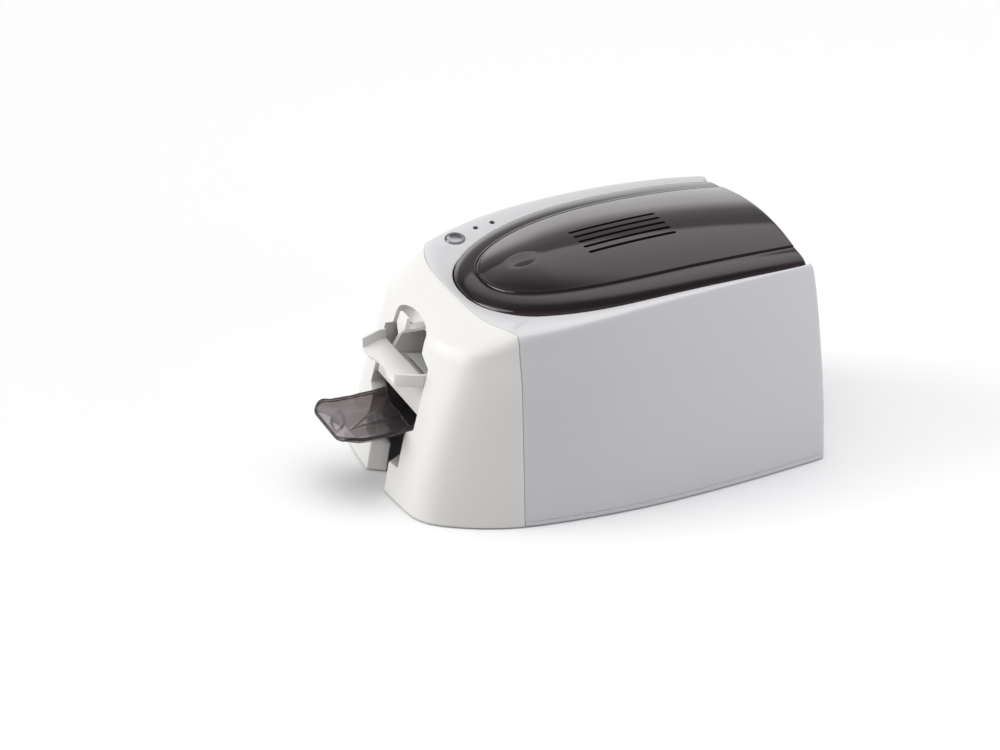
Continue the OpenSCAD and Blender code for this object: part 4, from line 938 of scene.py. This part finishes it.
# ---------------------------------------------------------------- hood over the card mouth
# A white niche moulded behind the finger arch. Its wall is a smooth hollow that guides a
# thumb to the top card and hides the works; it is open below, where the cards go in.
hood_foot, hood_depth, hood_lean, hood_bands = shoulder_z, 9.5, 0.28, 14
mouth_of_hood = arch_edge + [Vector((-p.x, p.y, p.z)) for p in reversed(arch_edge)]
rows = []
for r in range(hood_bands + 1):
    turn = radians(90 * r / hood_bands)
    rise = 1 - hood_lean + hood_lean * cos(turn)
    rows.append([(p.x * cos(turn), p.y + 0.15 + hood_depth * sin(turn),
                  hood_foot + (p.z - hood_foot) * rise) for p in mouth_of_hood])
bm = bmesh.new()
sheet_over(bm, rows)
weld(bm, 0.00003)
face_out(bm, (0, -0.08, 0.1), (0, -1, 0))
hood = piece("feeder_hood_niche", bm, warm_white, "housing", ("feeder_hood",))
walled(hood, 0.0014)
set_hard(hood, 50)


# ---------------------------------------------------------------- card gauge and feeder
# The gauge lever is a white moulded tab with a pointed lower end, slid up or down for the
# thickness of the cards. The feeder tray below it is moulded in the same white plastic.
softened("gauge_lever", warm_white, "lever", 0.45)
softened("feeder_tray", warm_white, "housing", 0.6)


# ---------------------------------------------------------------- output tray
# A clear smoked scoop that clips into the bay. Its front corners are broad curves, its
# floor has a folded card rest and a leaf-shaped thumb dish, and its edge turns up and
# then down as a skirt.
tray_front, tray_rear, tray_floor = -153.4, -104.0, 41.0
straight_half, corner_width, corner_length, narrower = 18.6, 11.2, 10.5, 1.4


def tray_half(y):
    """Half the width of the scoop so far back, with its broad front corners."""
    reach = min(1.0, max(0.0, (y - tray_front) / corner_length))
    corner = corner_width * sqrt(max(0.0, 1 - (1 - reach) ** 2))
    return straight_half + corner - narrower * eased_step(y, -128, -108)


def fold(value, width=0.5):
    """A soft crease: 0 below the line and rising after it."""
    return (value + sqrt(value * value + width * width)) / 2


# Where each fold of the scoop starts, and how steeply it rises from there
side_fold, side_slope = 17.5, 0.22
edge_fold, edge_slope = 25.0, 0.6
lip_fold, lip_slope = -141.0, 0.32


def tray_z(x, y):
    """Height of the scoop: its folded sides and lip, the wedge of the card rest, the dish."""
    z = tray_floor + side_slope * fold(abs(x) - side_fold) + edge_slope * fold(abs(x) - edge_fold)
    z += 0.022 * fold(y + 126) * max(0.0, abs(x) - 20)
    z += lip_slope * fold(lip_fold - y, 1.0)
    rest_x, rest_rise, dish_depth, dish_half = 7.1, 1.3, 1.3, 4.2
    from_rest = (y + 144.0) / 24.3
    if from_rest > 0:
        inside = min(x - (rest_x - 19.8 * from_rest), rest_x - 3.5 * from_rest - x)
        z += rest_rise * eased_step(inside, -0.2, 2.2) * min(1.0, from_rest * 1.5)
    slant_x, slant_y = x + 8.3, y + 146.5
    across = (0.923 * slant_x - 0.384 * slant_y) / 18.0
    ahead = 0.384 * slant_x + 0.923 * slant_y - 3.0
    return z - dish_depth * (1 - eased_step(abs(ahead) / dish_half + across * across, 0.7, 1.0))


rows = []
tray_rows, half_columns = 72, 40
for r in range(tray_rows + 1):
    y = tray_front + (tray_rear - tray_front) * (r / tray_rows) ** closer_in
    half = tray_half(y)
    xs = [half * (-1 + k / half_columns) for k in range(2 * half_columns + 1)]
    rows.append([(x, y, tray_z(x, y)) for x in xs])
bm = bmesh.new()
sheet_over(bm, rows)
front_edge = [e for e in bm.edges if e.is_boundary
              and not all(v.co.y > (tray_rear - 0.01) * 0.001 for v in e.verts)]
straight_x, straight_y = 0.0186, -0.143
for out, down in ((0.0004, 0.00012), (0.0006, 0.0005), (0.0006, 0.0012)):
    fresh, front_edge = pulled_out(bm, front_edge)
    for v in fresh:
        old = [e.other_vert(v) for e in v.link_edges if e.other_vert(v) not in fresh][0]
        away = Vector((old.co.x - max(-straight_x, min(straight_x, old.co.x)),
                       min(0.0, old.co.y - straight_y), 0))
        away = away.normalized() if away.length > 0 else Vector((copysign(1, old.co.x), 0, 0))
        v.co = old.co + away * (out / 2) - Vector((0, 0, down))
face_out(bm, (0, -0.12, 0.042), (0, 0, 1))
clear_smoke, tree, shader = new_material("clear smoked plastic")
shader["Transmission Weight"].default_value = 0.82
shader["IOR"].default_value = 1.3
clouded(tree, 60, 3, (linear(138, 128, 130), linear(150, 141, 143)), (0.0, 1.0), (0.04, 0.1))
tray = piece("output_tray_scoop", bm, clear_smoke, "housing", ("output_tray",))
walled(tray, 0.0018)
set_hard(tray, 60)


# ---------------------------------------------------------------- control board
# The small board below the button and the light pipes, a green glass fibre sheet with its
# parts on it. Its outer edge stays clear of the wall of the body shell.
def clear_of_wall(bm):
    board_edge = -0.0775
    for v in bm.verts:
        v.co.x = max(v.co.x, board_edge)


green_mask = textured("green solder mask", linear(22, 92, 52), rough=(0.25, 0.35), grain=400)
softened("control_board", green_mask, "housing", 0.15, change=clear_of_wall)


# ---------------------------------------------------------------- carried-over pieces
# Every other piece keeps the form it was drawn with and gets the finish of its material.
finishes = {"front_white": warm_white, "body_grey": light_grey, "smoked_plastic": smoked,
            "circuit_board": green_mask}
for slot, name, colour, rough, grain, grain_depth, metal in (
        ("dark_plastic", "dark textured plastic", (46, 46, 49), (0.5, 0.62), 900, 0.05, 0.0),
        ("silver_plastic", "silver painted plastic", (196, 198, 202), (0.25, 0.32), 2500, 0.02, 0.0),
        ("steel", "ground steel", (190, 192, 196), (0.2, 0.34), 600, 0.02, 1.0),
        ("aluminium", "extruded aluminium", (205, 207, 210), (0.3, 0.4), 700, 0.02, 1.0),
        ("rubber_dark", "ground rubber", (34, 34, 35), (0.7, 0.85), 700, 0.06, 0.0),
        ("tacky_blue", "tacky blue rubber", (70, 120, 178), (0.2, 0.3), 300, 0.02, 0.0),
        ("gear_plastic", "acetal", (232, 229, 218), (0.3, 0.4), 900, 0.02, 0.0),
        ("ribbon", "ribbon film", (28, 28, 60), (0.15, 0.25), 200, 0.02, 0.0),
        ("brass", "cut brass", (214, 178, 102), (0.25, 0.35), 500, 0.02, 1.0),
        ("ceramic", "glazed ceramic", (120, 116, 110), (0.15, 0.25), 500, 0.02, 0.0)):
    finishes[slot] = textured(name, linear(*colour), rough, grain, grain_depth, metal=metal)
for part in frame["record"]["subparts"]:
    for place in frame["nodes"][part["node"]].material_slots:
        place.material = finishes[part["material_slot"]]


# ---------------------------------------------------------------- studio
# A pale floor, two broad soft lights from the front left, a weak lamp at the rear right and
# light from all round. The floor and the backdrop are white where they are seen or
# mirrored, and the floor keeps the shadow.
bm = bmesh.new()
bmesh.ops.create_grid(bm, x_segments=1, y_segments=1, size=9)
floor = placed("floor", as_mesh("floor", bm))


def grey(level):
    return (level, level, level, 1)


def seen_rays(tree):
    """One for a ray from the camera or one that mirrors or passes through a part."""
    path = node(tree, "LightPath").outputs
    seen = path["Is Camera Ray"]
    for kind in ("Is Glossy Ray", "Is Transmission Ray"):
        seen = node(tree, "Math", {0: seen, 1: path[kind]}, operation="MAXIMUM").outputs[0]
    return path, seen


def mixed(tree, share, one, other):
    """Two shaders mixed by a share."""
    return node(tree, "MixShader", {0: share, 1: one, 2: other}).outputs[0]


paper, tree, _ = new_material("white paper")
tree.nodes.clear()
sheet = node(tree, "BsdfDiffuse", {"Color": grey(0.52)}).outputs[0]
seen_sheet = node(tree, "BsdfDiffuse", {"Color": grey(0.97)}).outputs[0]
glow = node(tree, "Emission", {"Strength": 0.02}).outputs[0]
both = node(tree, "AddShader", {0: seen_sheet, 1: glow}).outputs[0]
_, seen = seen_rays(tree)
node(tree, "OutputMaterial", {"Surface": mixed(tree, seen, sheet, both)})
floor.data.materials.append(paper)

world = bpy.data.worlds.new("studio")
bpy.context.scene.world = world
world.use_nodes = True
tree = world.node_tree
tree.nodes.clear()
way = node(tree, "TexCoord").outputs["Generated"]
rise = node(tree, "SeparateXYZ", {0: way}).outputs["Z"]
# Light from all round, which grows towards the ceiling
upward = node(tree, "Math", {0: rise, 1: 3.0}, operation="POWER", use_clamp=True).outputs[0]
ceiling = node(tree, "MapRange", {"Value": upward, "To Min": 0.03, "To Max": 2.45}).outputs[0]
around = node(tree, "Background", {"Strength": ceiling}).outputs[0]
white = node(tree, "Background").outputs[0]
# What glossy parts mirror: a white backdrop low down, a darker wall, a broad lit ceiling
# panel beyond it, and a dark room behind the camera
backdrop = node(tree, "ValToRGB", {"Fac": rise})
stops = backdrop.color_ramp.elements
stops[0].color, stops[1].color = grey(0.95), grey(0.04)
for height, level in ((0.24, 0.95), (0.34, 0.3), (0.42, 0.2), (0.475, 0.19), (0.49, 0.68), (0.72, 0.6),
                      (0.86, 0.06)):
    stops.new(height).color = grey(level)
double = node(tree, "Math", {0: backdrop.outputs["Color"], 1: 2.0}, operation="MULTIPLY").outputs[0]
ahead = node(tree, "VectorMath", {0: way, 1: (0.6, -0.8, 0)}, operation="DOT_PRODUCT").outputs["Value"]
behind_camera = node(tree, "MapRange", {"Value": ahead, "From Min": -0.6, "From Max": -0.36,
                                        "To Min": 1, "To Max": 0.2}).outputs[0]
dimmed = node(tree, "Math", {0: double, 1: behind_camera}, operation="MULTIPLY").outputs[0]
room = node(tree, "Background", {"Strength": dimmed}).outputs[0]
path, seen = seen_rays(tree)
mirrored_room = mixed(tree, path["Is Glossy Ray"], white, room)
node(tree, "OutputWorld", {"Surface": mixed(tree, seen, around, mirrored_room)})

for name, energy, towards in (("soft front light", 1.05, (-0.3, -0.85, 0.4)),
                              ("low front fill", 1.4, (-0.45, -0.88, 0.05))):
    sun = placed(name, bpy.data.lights.new(name, "SUN"))
    sun.data.energy = energy
    sun.data.angle = radians(42)
    sun.rotation_euler = Vector(towards).to_track_quat("Z", "Y").to_euler()
lamp = placed("rear lamp", bpy.data.lights.new("rear lamp", "AREA"))
lamp.data.shape = "DISK"
lamp.data.size = 0.5
lamp.data.energy = 1.6
lamp.data.color = (0.93, 0.92, 1)
lamp.location = (0.62, 0.5, 0.3)
lit_spot = Vector((0.09, 0.1, 0.06))
lamp.rotation_euler = (lamp.location - lit_spot).to_track_quat("Z", "Y").to_euler()
lamp.visible_glossy = False
bpy.context.scene.view_settings.view_transform = "Standard"
